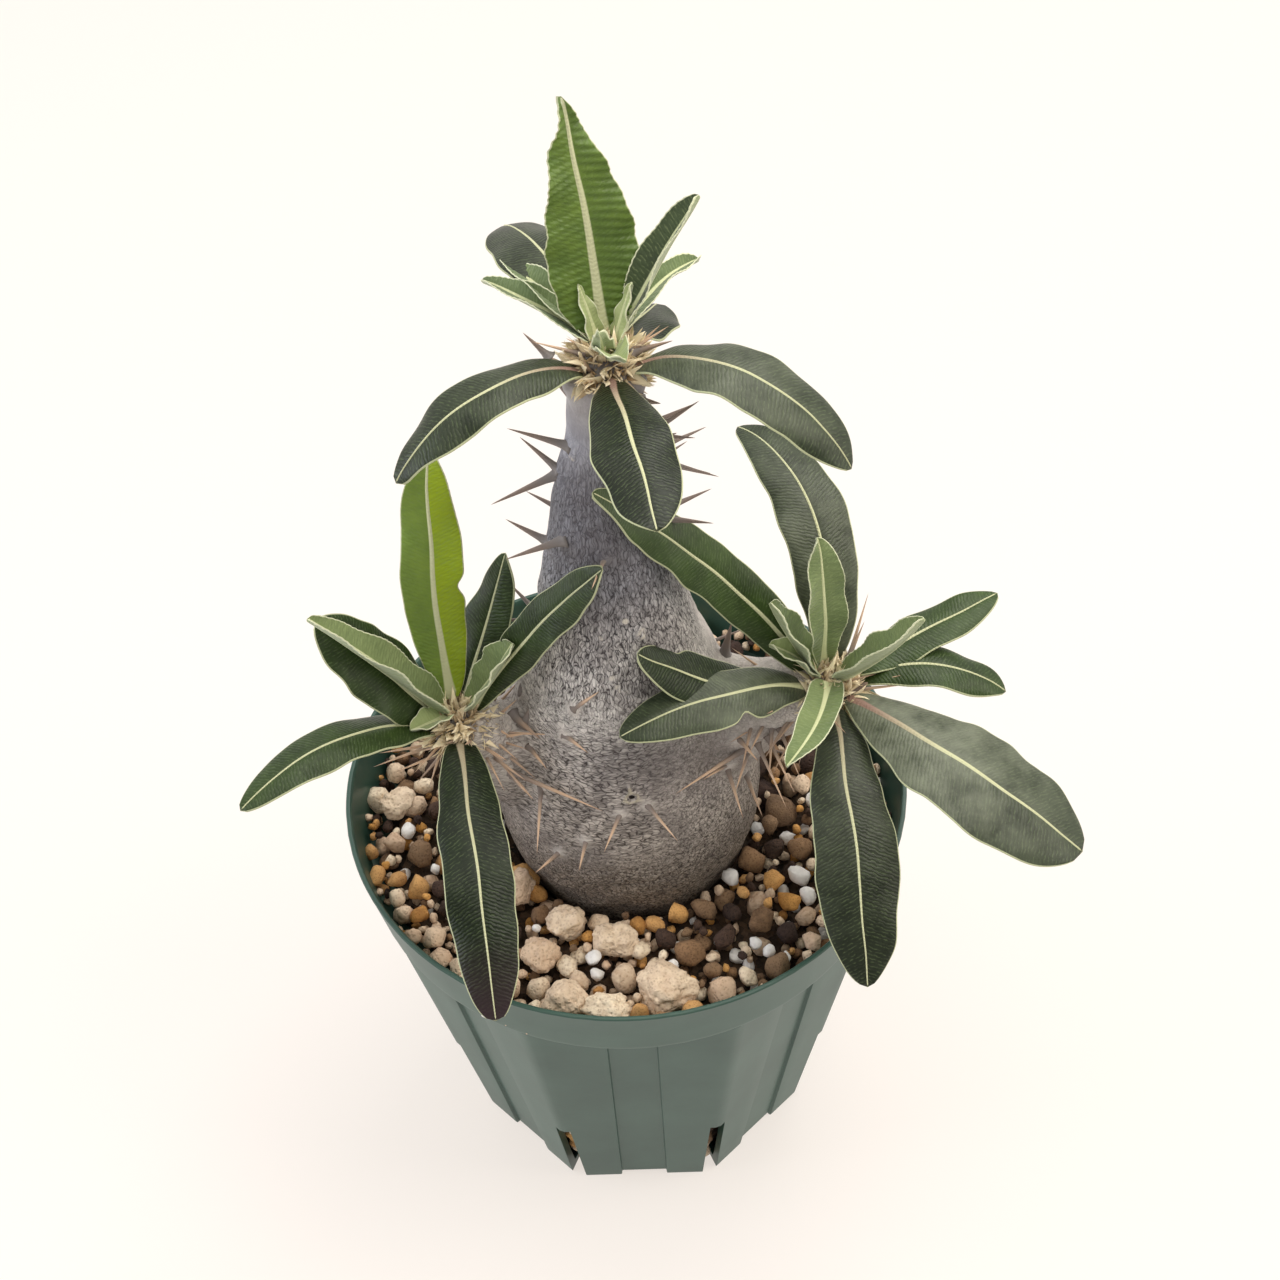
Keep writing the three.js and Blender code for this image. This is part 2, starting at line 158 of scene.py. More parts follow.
# %% [markdown]
# The plant was photographed on a white ground under soft light, and the shadows are faint. Glossy leaves
# that face the camera mirror the dim room in front, so the sky here is white overhead and behind, and fades
# towards the front. The lamp overhead lights the plant, the one behind it puts the pale sheen on leaves that
# lie flat, and one at each side lights the flanks of the stem. A fill lamp in front is hidden from mirror
# rays, so it lights the bark and puts no gloss on the leaves. The floor glows, as overexposed paper does.
# The view transform is Standard, so that a colour chosen from the photograph comes out as that colour.

# %% Floor and light
def linear(code):
    """The linear colour of an sRGB hex value."""
    parts = [int(code[i : i + 2], 16) / 255 for i in (1, 3, 5)]
    return tuple(p / 12.92 if p <= 0.04045 else ((p + 0.055) / 1.055) ** 2.4 for p in parts) + (1,)


def add(tree, kind, inputs=None, **settings):
    """Adds a node with its settings. An input is given a value, or an output or a node to link."""
    made = tree.nodes.new(kind)
    for name, value in settings.items():
        setattr(made, name, value)
    for name, value in (inputs or {}).items():
        if isinstance(value, bpy.types.Node):
            value = value.outputs[0]
        if isinstance(value, bpy.types.NodeSocket):
            tree.links.new(value, made.inputs[name])
        else:
            made.inputs[name].default_value = value
    return made


def new_material(name, **sockets):
    """A material whose shader's own sockets are set. Returns it, its tree and the shader."""
    material = bpy.data.materials.new(name)
    material.use_nodes = True
    tree = material.node_tree
    shader = tree.nodes["Principled BSDF"]
    for name, value in sockets.items():
        shader.inputs[name.replace("_", " ")].default_value = value
    return material, tree, shader


def area_lamp(name, place, size, power, color):
    """A square lamp that faces the plant. Returns the lamp."""
    data = bpy.data.lights.new(name, "AREA")
    data.size = size * MM
    data.energy = power
    data.color = linear(color)[:3]
    lamp = bpy.data.objects.new(name, data)
    scene.collection.objects.link(lamp)
    lamp.location = Vector(place) * MM
    lamp.rotation_euler = (Vector((0, 0, 130)) - Vector(place)).to_track_quat("-Z", "Y").to_euler()
    return lamp


scene.view_settings.view_transform = "Standard"
world = bpy.data.worlds.new("white_room")
scene.world = world
world.use_nodes = True
SKY_STRENGTH = 0.9
DIM_STRENGTH = 0.2
DIM_SIDE = (0, -0.9, 0.43)
sky_tree = world.node_tree
sky = sky_tree.nodes["Background"]
sky.inputs["Color"].default_value = linear("#FFFCF9")
looking = add(sky_tree, "ShaderNodeTexCoord").outputs["Generated"]
frontward = add(sky_tree, "ShaderNodeVectorMath", {0: looking, 1: DIM_SIDE}, operation="DOT_PRODUCT")
fade = {"Value": frontward.outputs["Value"], "From Min": 0.05, "From Max": 0.8}
fade.update({"To Min": SKY_STRENGTH, "To Max": DIM_STRENGTH})
fade = add(sky_tree, "ShaderNodeMapRange", fade, interpolation_type="SMOOTHSTEP")
sky_tree.links.new(fade.outputs[0], sky.inputs["Strength"])
area_lamp("top_lamp", (0, 0, 1000), 800, 3.2, "#FFFAF2")
area_lamp("back_lamp", (300, 430, 960), 500, 3.4, "#FFFAF2")
area_lamp("key_lamp", (460, -180, 930), 300, 2.1, "#FFF6EA")
area_lamp("left_lamp", (-800, -60, 420), 500, 2.9, "#F0F4FF")
area_lamp("right_lamp", (820, -120, 480), 500, 2.2, "#FFF4E6")
area_lamp("front_fill", (-120, -800, 620), 800, 2.0, "#FFFBF6").visible_glossy = False

PAPER_GLOW = 0.68
paper, _, paper_shader = new_material("matt_paper", Roughness=0.9, Emission_Strength=PAPER_GLOW)
paper_shader.inputs["Base Color"].default_value = linear("#8F8D8C")
paper_shader.inputs["Emission Color"].default_value = linear("#FFF6ED")
FLOOR_HALF = 3000
floor_corners = [(x * FLOOR_HALF, y * FLOOR_HALF, 0) for x, y in ((-1, -1), (1, -1), (1, 1), (-1, 1))]
floor = mesh_object("floor", floor_corners, [(0, 1, 2, 3)])
floor.data.materials.append(paper)

# %% [markdown]
# ## The pot
# The pot is polypropylene, injection moulded. The melt is forced into a steel mould with a fine satin
# grain, so the wall has a soft sheen and a very slightly uneven surface, and handling leaves a pale dusty
# bloom. The dust is a large, faint noise. Inside the pot, below the band, the wall is painted nearly black
# and less glossy, which is painted shade. The grain is finer than the picture can show, so it is drawn at
# 0.5 mm. Three small functions serve every material that follows: one fills a colour ramp, one lays a
# colour over another, and one ends the material with its bump.

# %% Moulded polypropylene
def object_coordinates(tree):
    """Millimetres on the piece, because a finished piece sits at the origin."""
    place = add(tree, "ShaderNodeTexCoord").outputs["Object"]
    scaled = {0: place, 1: (1 / MM, 1 / MM, 1 / MM)}
    return add(tree, "ShaderNodeVectorMath", scaled, operation="MULTIPLY").outputs[0]


def fill_ramp(ramp, stops):
    """Gives a colour ramp its stops, each a place from 0 to 1 and a hex value. Returns the ramp."""
    elements = ramp.color_ramp.elements
    elements[0].position = stops[0][0]
    elements[1].position = stops[-1][0]
    for position, _ in stops[1:-1]:
        elements.new(position)
    for element, (_, code) in zip(elements, stops):
        element.color = linear(code)
    return ramp


def lay_over(base, top, where, low=0, high=1, most=1, soft=True, kind="RGBA"):
    """Lays a colour over another where a value goes from low to high. Of kind FLOAT, it mixes numbers."""
    tree = where.id_data
    span = {"Value": where, "From Min": low, "From Max": high, "To Max": most}
    share = add(tree, "ShaderNodeMapRange", span, interpolation_type="SMOOTHSTEP" if soft else "LINEAR")
    first, second, result = (6, 7, 2) if kind == "RGBA" else (2, 3, 0)
    base, top = [linear(value) if isinstance(value, str) else value for value in (base, top)]
    mixed = add(tree, "ShaderNodeMix", {0: share, first: base, second: top}, data_type=kind)
    return mixed.outputs[result]


def end_material(shader, color, height, strength, depth):
    """Links a colour, and a bump of a strength and of a depth in millimetres."""
    tree = shader.id_data
    tree.links.new(color, shader.inputs["Base Color"])
    bump = add(tree, "ShaderNodeBump", {"Height": height, "Strength": strength, "Distance": depth * MM})
    tree.links.new(bump.outputs["Normal"], shader.inputs["Normal"])


polypropylene, tree, shader = new_material("moulded_polypropylene", Roughness=0.42, IOR=1.49)
place = object_coordinates(tree)
dust = {"Vector": place, "Scale": 1 / 22, "Detail": 6, "Roughness": 0.62}
dust = add(tree, "ShaderNodeTexNoise", dust)
green = fill_ramp(add(tree, "ShaderNodeValToRGB", {"Fac": dust}), [(0.35, "#2A483E"), (0.75, "#3A584D")])
# Painted shade: inside the pot, below the band, the wall is made nearly black and its gloss is lowered.
inside = add(tree, "ShaderNodeAttribute", attribute_name="inside").outputs["Fac"]
color = lay_over(green, "#0D1312", inside, soft=False)
gloss = add(tree, "ShaderNodeMapRange", {"Value": inside, "To Min": 0.5, "To Max": 0.12})
tree.links.new(gloss.outputs[0], shader.inputs["Specular IOR Level"])
grain = add(tree, "ShaderNodeTexNoise", {"Vector": place, "Scale": 1 / 0.5, "Detail": 2})
end_material(shader, color, grain, 0.12, 0.05)
print("made", polypropylene.name)

# %% [markdown]
# The pot's wall is one closed skin. It could be cut from a solid with booleans, but its section is simple,
# so rows of points are laid from the middle of the inside floor, up the wall, over the lip, and down the
# outside to the middle of the foot. Below the band the rows are eight-sided, and each side has a sunk strip
# whose edge is a short round. In the band the same points lie on a circle. That gives clean, even faces, and
# only the slits are left to cut.

# %% Wall of the pot
POT_HEIGHT = 100
RIM_RADIUS = 60
FOOT_RADIUS = 40.5
WALL_SLOPE = (RIM_RADIUS - FOOT_RADIUS) / POT_HEIGHT
BAND_BOTTOM = 84.5
WALL = 2
LIP = 1.15
FACETS = 8
POT_TURN = -2.5
STRIP_HALF = 5.2
STRIP_DEPTH = 0.8
FACET_TURN = 2 * math.pi / FACETS
FACET_COSINE = math.cos(FACET_TURN / 2)

# The edge of a strip: how far each point is from the strip's side, and its share of the depth.
STRIP_EDGE = [(0.3, 0), (0.1, 0.06), (0.02, 0.3), (-0.04, 0.7), (-0.14, 0.94), (-0.35, 1)]


def pot_radius(z):
    """The radius of the outer wall at a height."""
    return FOOT_RADIUS + WALL_SLOPE * z


def facet_points(radius, sunk):
    """Across one facet: how far each point is from the facet's middle, and how deep it lies."""
    half = radius * math.sin(FACET_TURN / 2)
    right = [(STRIP_HALF * share, 1) for share in (0, 0.45, 0.8)]
    right += [(STRIP_HALF + off, share) for off, share in reversed(STRIP_EDGE)]
    outer = STRIP_HALF + STRIP_EDGE[0][0]
    right += [(outer + (half - outer) * share, 0) for share in (0.3, 0.6, 0.82, 0.95)]
    left = [(-across, share) for across, share in reversed(right[1:])]
    return [(across, sunk * share) for across, share in [(-half, 0)] + left + right]


def pot_row(z, radius, sunk=0, round_row=False, notch=0):
    """A row of points round the pot. A round row keeps the headings of the facets' points."""
    row = []
    plane = radius * FACET_COSINE
    for k in range(FACETS):
        middle = math.radians(POT_TURN) + k * FACET_TURN
        for across, deep in facet_points(radius, sunk):
            out = plane - deep
            if round_row:
                angle = middle + math.atan2(across, plane)
                row.append((radius * math.sin(angle), -radius * math.cos(angle), z))
                continue
            if across < -0.99 * radius * math.sin(FACET_TURN / 2):
                across, out = across * 0.994, out * 0.994
            east = across * math.cos(middle) + out * math.sin(middle)
            north = across * math.sin(middle) - out * math.cos(middle)
            lift = notch if deep > 0.5 * STRIP_DEPTH else 0
            row.append((east, north, z + lift))
    return row


def skin(rows, low_end, high_end):
    """Points and faces of a closed skin over rows, with a point at each end."""
    size = len(rows[0])
    points = [low_end] + [p for row in rows for p in row] + [high_end]
    faces = []
    for k in range(size):
        after = (k + 1) % size
        faces.append((0, 1 + k, 1 + after))
        faces.append((len(points) - 1, len(points) - 1 - size + after, len(points) - 1 - size + k))
        for r in range(len(rows) - 1):
            low = 1 + r * size
            faces.append((low + k, low + size + k, low + size + after, low + after))
    return points, faces


def turn_outwards(obj):
    """Makes every face of a closed mesh point out."""
    shape = bmesh.new()
    shape.from_mesh(obj.data)
    bmesh.ops.recalc_face_normals(shape, faces=shape.faces)
    shape.to_mesh(obj.data)
    shape.free()


inset = WALL / FACET_COSINE
rows = [pot_row(WALL, share * (pot_radius(WALL) - inset)) for share in (0.45, 0.9)]
rows += [pot_row(WALL + z, pot_radius(WALL) - inset + out) for z, out in ((0.1, -0.6), (0.6, -0.05))]
rows += [pot_row(z, pot_radius(z) - inset) for z in (10, 28.5, 50, 70, 84)]
rows += [pot_row(z, pot_radius(z) - LIP, round_row=True) for z in (86, 86.6, 92, 98.6, 99.4)]
for z, out in ((-0.08, 0.9), (0, 0.55), (-0.1, 0.2), (-0.5, 0.02)):
    rows.append(pot_row(POT_HEIGHT + z, RIM_RADIUS - out, round_row=True))
rows += [pot_row(z, pot_radius(z), round_row=True) for z in (98.5, 92, 86, 85.2)]
for z, out in ((0.25, 0.02), (0.05, 0.15), (0, 0.45)):
    rows.append(pot_row(BAND_BOTTOM + z, pot_radius(BAND_BOTTOM) - out, round_row=True))
rows += [pot_row(z, pot_radius(z), STRIP_DEPTH) for z in (84.3, 83.6, 70, 50, 28.5, 10, 1)]
for z, out in ((0.25, 0), (0.05, 0.1), (0, 0.35)):
    rows.append(pot_row(z, pot_radius(0) - out, STRIP_DEPTH, notch=0.9))
rows += [pot_row(0, share * pot_radius(0)) for share in (0.9, 0.45)]
pot = mesh_object("slit_pot", *skin(rows, (0, 0, WALL), (0, 0, 0)))
turn_outwards(pot)
print("pot wall:", len(pot.data.polygons), "faces")

# %% [markdown]
# A slit runs up each corner of the pot from the foot, and lets air to the roots. Eight plain bars are
# subtracted with the exact Boolean solver. The new edges are then beveled, because a moulded slit never
# has a knife edge, and the small round catches the light as the pale line that is seen round each slit.

# %% Slits at the corners
SLIT_WIDTH = 3.5
SLIT_HEIGHT = 28.5
SLIT_INNER_RADIUS = 20
SLIT_LENGTH = 40
SLIT_ROUND = 0.22


def plain_mesh(obj, name):
    """The object's finished shape as a plain mesh object of its own, and the old object removed."""
    done = bpy.data.meshes.new_from_object(obj.evaluated_get(bpy.context.evaluated_depsgraph_get()))
    done.name = name
    bpy.data.objects.remove(obj)
    made = bpy.data.objects.new(name, done)
    scene.collection.objects.link(made)
    return made


bars = bmesh.new()
for k in range(FACETS):
    heading = POT_TURN + (k + 0.5) * 360 / FACETS
    made = bmesh.ops.create_cube(bars, size=1)
    size = Matrix.Diagonal((SLIT_WIDTH, SLIT_LENGTH, 2 * SLIT_HEIGHT, 1))
    place = Matrix.Translation((0, -SLIT_INNER_RADIUS - SLIT_LENGTH / 2, 0))
    spin = Matrix.Rotation(math.radians(heading), 4, "Z")
    bmesh.ops.transform(bars, matrix=Matrix.Scale(MM, 4) @ spin @ place @ size, verts=made["verts"])
cutter_mesh = bpy.data.meshes.new("slit_bars")
bars.to_mesh(cutter_mesh)
bars.free()
cutter = bpy.data.objects.new("slit_bars", cutter_mesh)
scene.collection.objects.link(cutter)
cut = pot.modifiers.new("slits", "BOOLEAN")
cut.operation = "DIFFERENCE"
cut.solver = "EXACT"
cut.object = cutter
pot = plain_mesh(pot, "slit_pot")
bpy.data.objects.remove(cutter)

shape = bmesh.new()
shape.from_mesh(pot.data)
edges = []
for edge in shape.edges:
    middle = (edge.verts[0].co + edge.verts[1].co) / 2 / MM
    angle = (math.atan2(middle.x, -middle.y) - math.radians(POT_TURN)) % FACET_TURN - FACET_TURN / 2
    aside = abs(math.hypot(middle.x, middle.y) * math.sin(angle))
    at_slit = abs(aside - SLIT_WIDTH / 2) < 0.02 or abs(middle.z - SLIT_HEIGHT) < 0.02
    if len(edge.link_faces) == 2 and edge.calc_face_angle() > 1 and at_slit:
        edges.append(edge)
bmesh.ops.bevel(shape, geom=edges, offset=SLIT_ROUND * MM, segments=2, affect="EDGES", clamp_overlap=True)
shape.to_mesh(pot.data)
shape.free()


def smooth_by_angle(obj, degrees):
    """Shades a mesh smooth, apart from edges that turn more than the angle."""
    shape = bmesh.new()
    shape.from_mesh(obj.data)
    for face in shape.faces:
        face.smooth = True
    for edge in shape.edges:
        edge.smooth = len(edge.link_faces) == 2 and edge.calc_face_angle() < math.radians(degrees)
    shape.to_mesh(obj.data)
    shape.free()


# The strips lie at just their depth, so what is inside starts a little deeper.
INSIDE_FROM = STRIP_DEPTH + 0.01
INSIDE_TOP = 98.5

smooth_by_angle(pot, 35)
within = []
for vert in pot.data.vertices:
    x, y, z = vert.co / MM
    deep = pot_radius(z) * FACET_COSINE - math.hypot(x, y)
    within.append(float(deep > INSIDE_FROM and z < INSIDE_TOP))
paint(pot, "inside", within)
keep(pot, "pot_plastic", polypropylene, "pot")
print("beveled", len(edges), "slit edges; pot has", len(pot.data.polygons), "faces")

# %% [markdown]
# ## The potting mix
# Under the stones lies fine, damp, dark grit, and it is seen only as black gaps between them and through
# the slits. It is one closed skin again: it follows the inside of the pot, and its top has a hollow that
# the plant sits in. The top is uneven, so that the gaps between the stones are not all of one depth. Low
# down it keeps a little away from the wall, which leaves room for the stones behind the slits.

# %% Damp grit
GAP = 0.3
GRIT_TOP = 85
SLIT_POCKET = 2.6
STEM_HOLLOW = [(25.2, 85), (23.6, 80), (17, 70)]

damp_grit, tree, shader = new_material("damp_grit", Roughness=0.95)
crumbs = add(tree, "ShaderNodeTexVoronoi", {"Vector": object_coordinates(tree), "Scale": 1 / 1.6})
earth = add(tree, "ShaderNodeValToRGB", {"Fac": crumbs.outputs["Color"]})
fill_ramp(earth, [(0, "#15100C"), (1, "#54402E")])
end_material(shader, earth.outputs["Color"], crumbs, 1, 1)

grit_inset = inset + GAP / FACET_COSINE
rows = [pot_row(WALL + GAP, share * (pot_radius(WALL) - grit_inset - SLIT_POCKET)) for share in (0.5, 1)]
rows += [pot_row(z, pot_radius(z) - grit_inset - SLIT_POCKET) for z in (6, 15, 29)]
rows += [pot_row(z, pot_radius(z) - grit_inset) for z in (32, 45, 60, 75, 83)]
rows += [pot_row(GRIT_TOP, radius, round_row=True) for radius in (52, 48, 44, 40, 36, 32, 28)]
rows += [pot_row(z, radius, round_row=True) for radius, z in STEM_HOLLOW]
points, faces = skin(rows, (0, 0, WALL + GAP), (0, 0, STEM_HOLLOW[-1][1]))
uneven = []
for x, y, z in points:
    waves = 1.2 * noise.noise(Vector((x, y, 0)) / 4) if z == GRIT_TOP else 0
    uneven.append((x, y, z + waves))
grit = mesh_object("potting_mix_grit", uneven, faces)
turn_outwards(grit)
keep(grit, "potting_mix", damp_grit, "potting_mix")
print("grit:", len(grit.data.polygons), "faces")

# %% [markdown]
# ## The stones
# The top layer is a mix of stones from 3 to 12 mm. Pumice is a pale volcanic foam, crushed and sieved, so
# its faces are flat and its corners are rubbed. Fired clay grains are rounder, and orange to brown. Scoria
# is dark lava, and perlite is a white puffed glass. A stone that is repeated hundreds of times has to stay
# light, so it is the hull of a few corners, and its edges are beveled, which is how rubbing wears a real
# one. The large lumps are seen closely. They are balls cut by random planes and then roughened by noise.

# %% Shapes of stones
def smooth_mesh(shape, name):
    """A smooth-shaded mesh from a bmesh, which is freed."""
    mesh = bpy.data.meshes.new(name)
    shape.to_mesh(mesh)
    shape.free()
    mesh.polygons.foreach_set("use_smooth", [True] * len(mesh.polygons))
    return mesh


def stone_mesh(name, seed, detail, cuts, roughness, sharp):
    """A stone of unit diameter: a ball cut by planes at random, its edges rubbed, and roughened."""
    pick = random.Random(seed)
    shape = bmesh.new()
    bmesh.ops.create_icosphere(shape, subdivisions=detail, radius=1)
    planes = []
    for _ in range(cuts):
        normal = direction(pick.uniform(0, 360), math.degrees(math.asin(pick.uniform(-1, 1))))
        planes.append((normal, pick.uniform(0.66, 0.9)))
    offset = Vector((seed * 3.7, 0, 0))
    for vert in shape.verts:
        out = vert.co.normalized()
        cut = sum((max(0, out.dot(normal)) / far) ** sharp for normal, far in planes)
        reach = (1 + cut) ** (-1 / sharp)
        rough = roughness * noise.fractal(out * 2.4 + offset, 1, 2, 3)
        reach *= 1 + 0.22 * noise.noise(out * 0.9 + offset) + rough
        vert.co = out * reach / 2
    return smooth_mesh(shape, name)


def small_stone(name, seed, corners, rubbed):
    """A light stone of unit diameter: the hull of a few corners, with its edges worn away."""
    pick = random.Random(seed)
    shape = bmesh.new()
    for k in range(corners):
        rise = math.degrees(math.asin(1 - (2 * k + 1) / corners))
        out = direction(k * 137.5 + pick.uniform(-22, 22), rise + pick.uniform(-14, 14))
        shape.verts.new(out * pick.uniform(0.44, 0.6))
    bmesh.ops.convex_hull(shape, input=shape.verts)
    bmesh.ops.delete(shape, geom=[v for v in shape.verts if not v.link_faces], context="VERTS")
    bevel = {"offset": rubbed, "segments": 1, "affect": "EDGES", "clamp_overlap": True}
    bmesh.ops.bevel(shape, geom=shape.edges, **bevel)
    for vert in shape.verts:
        vert.co *= 1 + 0.16 * noise.noise(vert.co * 4 + Vector((seed, 0, 0)))
    return smooth_mesh(shape, name)


def stone_collection(name, count, seed, corners, rubbed):
    """Stone shapes that Geometry Nodes pick from. They are parts to copy, and aren't in the scene."""
    collection = bpy.data.collections.new(name)
    for i in range(count):
        mesh = small_stone(f"{name}_{i}", seed + i, corners, rubbed)
        collection.objects.link(bpy.data.objects.new(f"{name}_{i}", mesh))
    return collection


crushed_shapes = stone_collection("crushed_shapes", 12, 10, 13, 0.075)
round_shapes = stone_collection("round_shapes", 8, 40, 17, 0.1)
faces = [len(made.data.polygons) for made in (*crushed_shapes.objects, *round_shapes.objects)]
print(len(faces), "shapes with", min(faces), "to", max(faces), "faces")

# %% [markdown]
# Each kind of stone gets a material from the same recipe: a pale and a dark colour mixed by a soft noise,
# a tint of its own for each stone, a second colour that some stones lean to, and pits of the right size,
# which are darkened half way to the dark colour as painted shade.
# Pumice has pits of about 0.7 mm, fired clay has a fine dusty grain, scoria has open bubbles, and perlite
# is nearly smooth.

# %% Stone materials
def stone_material(name, dark, pale, other, pit, depth):
    """A matt mineral from dark to pale, some of it of another colour, with pits of a size and a depth."""
    material, tree, shader = new_material(name, Roughness=0.92)
    place = object_coordinates(tree)
    tint = add(tree, "ShaderNodeAttribute", attribute_name="tint").outputs["Fac"]
    cloud = {"Vector": place, "Scale": 1 / 2.2, "Detail": 5, "Roughness": 0.65}
    cloud = add(tree, "ShaderNodeTexNoise", cloud)
    mottled = add(tree, "ShaderNodeMath", {0: cloud, 1: 1.7, 2: tint}, operation="MULTIPLY_ADD")
    spread = add(tree, "ShaderNodeMapRange", {"Value": mottled, "From Min": 0.6, "From Max": 1.75})
    shade = fill_ramp(add(tree, "ShaderNodeValToRGB", {"Fac": spread}), [(0, dark), (1, pale)])
    turned = add(tree, "ShaderNodeMath", {0: tint, 1: 7}, operation="MULTIPLY")
    turned = add(tree, "ShaderNodeMath", {0: turned}, operation="FRACT")
    color = lay_over(shade, other, turned, most=0.6, soft=False)
    bubbles = add(tree, "ShaderNodeTexVoronoi", {"Vector": place, "Scale": 1 / pit})
    # Painted shade: the pits are darkened half way to the dark colour.
    color = lay_over(color, dark, bubbles, 0.5, 0.1, 0.5, soft=False)
    hole = add(tree, "ShaderNodeMapRange", {"Value": bubbles, "From Min": 0.1, "From Max": 0.5})
    fine = add(tree, "ShaderNodeTexNoise", {"Vector": place, "Scale": 1 / 0.6, "Detail": 3})
    relief = add(tree, "ShaderNodeMath", {0: hole, 1: fine}, operation="ADD")
    end_material(shader, color, relief, 0.7, depth)
    return material


crushed_pumice = stone_material("crushed_pumice", "#A88C72", "#F7E8CE", "#D6B498", 0.7, 0.2)
fired_clay = stone_material("fired_clay", "#8A5A26", "#E2A858", "#D0A878", 0.4, 0.12)
brown_clay = stone_material("brown_clay", "#4A3324", "#9C7A58", "#7E6A55", 0.5, 0.15)
dark_scoria = stone_material("dark_scoria", "#211712", "#523D30", "#3A2A28", 0.6, 0.25)
puffed_perlite = stone_material("puffed_perlite", "#D8D6D4", "#FBFAF8", "#EDEAE6", 0.9, 0.1)
STONE_KINDS = {
    "pumice": (crushed_pumice, crushed_shapes),
    "clay": (fired_clay, round_shapes),
    "brown": (brown_clay, crushed_shapes),
    "scoria": (dark_scoria, crushed_shapes),
    "perlite": (puffed_perlite, round_shapes),
}
print("stone materials:", list(STONE_KINDS))

# %% [markdown]
# The stones that show best are placed one by one, at the spots where the picture shows them. Each is
# written as its pixel and its size in millimetres. The rest are dropped at random by a small sum: a stone
# rests at the height where it touches the grit or the stones that lie there already. Pale pumice is the most
# common on the left in front, and darker stones lie on the right and behind. A simulation could drop them
# too, but this is faster and gives the same heap each time.

# %% Where the stones lie
STONES_AT = {
    "pumice": [
        (379, 795, 7.6), (414, 802, 6.4), (394, 770, 5), (423, 783, 5), (435, 934, 6.4), (440, 957, 6),
        (413, 934, 4.5), (404, 911, 4.4), (541, 948, 7.4), (538, 986, 6.4), (567, 963, 6.4), (625, 975, 7),
        (579, 977, 4.5), (640, 947, 4.6), (721, 988, 7.4), (747, 974, 5.2), (806, 913, 5), (812, 938, 5.4),
        (826, 918, 4.6), (460, 965, 5),
    ],
    "clay": [
        (376, 874, 4.6), (397, 877, 5), (418, 885, 5.6), (419, 912, 4.4), (523, 874, 8.4), (535, 890, 5),
        (638, 923, 4.4), (654, 922, 4.6), (678, 911, 5.4), (773, 878, 5.2), (789, 898, 5.8), (370, 850, 4.4),
    ],
    "brown": [
        (704, 906, 6.4), (778, 964, 7.2), (419, 849, 7.2), (751, 856, 7.2), (690, 948, 7), (712, 967, 5),
        (800, 845, 6), (540, 912, 5.6),
    ],
    "scoria": [
        (442, 887, 5.8), (665, 936, 5.4), (732, 910, 5.4), (725, 934, 6), (788, 930, 6), (450, 905, 5.4),
        (775, 845, 5), (512, 895, 5),
    ],
    "perlite": [
        (408, 828, 4.2), (593, 956, 4), (597, 973, 3.6), (799, 873, 5), (808, 893, 4), (756, 941, 3),
        (769, 949, 3.2), (786, 956, 2.8), (731, 875, 4.2),
    ],
}
LARGE_STONES = [
    ((6, -47), (12.5, 11, 9), 20), ((-15, -48.3), (9.5, 8, 7), -10), ((-6.5, -51), (9.5, 6.5, 6), 5),
    ((-14.5, -28.7), (9, 7.5, 7), 70), ((-4.7, -34), (9, 8, 7), 0), ((-20, -36.5), (7.5, 7.5, 6.5), 40),
    ((-50.5, 5.5), (8, 7, 6.5), 10), ((-24, -19), (8.5, 7, 6.5), 60),
]
STONE_LEVEL = 91
BED_EDGE = 57.6
STEM_AT_BED = 26
HEAP_TOP = 91.2
DROPS = 7000
FILLERS = 3500

placed = [(x, y, STONE_LEVEL, (long + wide) / 4, None) for (x, y), (long, wide, _), _ in LARGE_STONES]
for kind, some in STONES_AT.items():
    for across, down, size in some:
        spot = seen_at(across, down, STONE_LEVEL)
        placed.append((spot.x, spot.y, STONE_LEVEL - 0.2 * size, size / 2, kind))
shown = len(placed)

# The weights of pumice, clay, brown clay, scoria and perlite, on the pale side and on the dark side.
PALE_SIDE = (66, 13, 13, 6, 2)
DARK_SIDE = (30, 18, 30, 20, 2)
DARK_FROM = 8
pick = random.Random(5)


def kind_at(spot):
    """The kind of a dropped stone, drawn by the weights of its side."""
    weights = DARK_SIDE if spot.x > DARK_FROM or spot.y > 0 else PALE_SIDE
    return pick.choices(list(STONE_KINDS), weights)[0]


for drop in range(DROPS + FILLERS):
    far = math.sqrt(pick.uniform(STEM_AT_BED**2, BED_EDGE**2))
    spot = direction(pick.uniform(0, 360), 0) * far
    kind = kind_at(spot)
    radius = pick.triangular(2.1, 4.5, 3.2) if kind != "perlite" else pick.uniform(1.3, 2.1)
    if drop >= DROPS:
        radius = pick.uniform(0.9, 1.7)
    if not STEM_AT_BED + radius < far < BED_EDGE - radius:
        continue
    there = np.array([p[:4] for p in placed])
    reach = 0.9 * (radius + there[:, 3])
    gap = reach**2 - (there[:, 0] - spot.x) ** 2 - (there[:, 1] - spot.y) ** 2
    touching = gap > 0
    under = touching[shown:]
    height = GRIT_TOP + 0.7 * radius
    if under.any():
        rests = there[shown:, 2][under] + np.sqrt(gap[shown:][under])
        height = max(height, float(rests.max()))
    shown_levels = there[:shown, 2]
    crowded = touching[:shown] & ((shown_levels - height) ** 2 < gap[:shown])
    covering = touching[:shown] & (shown_levels < height)
    if height < HEAP_TOP and not crowded.any() and not covering.any():
        placed.append((spot.x, spot.y, height, radius, kind))
print(shown, "stones placed by eye and", len(placed) - shown, "dropped")

# %% [markdown]
# Some stones also show through the slits, so each slit gets a short column of them just inside the wall.

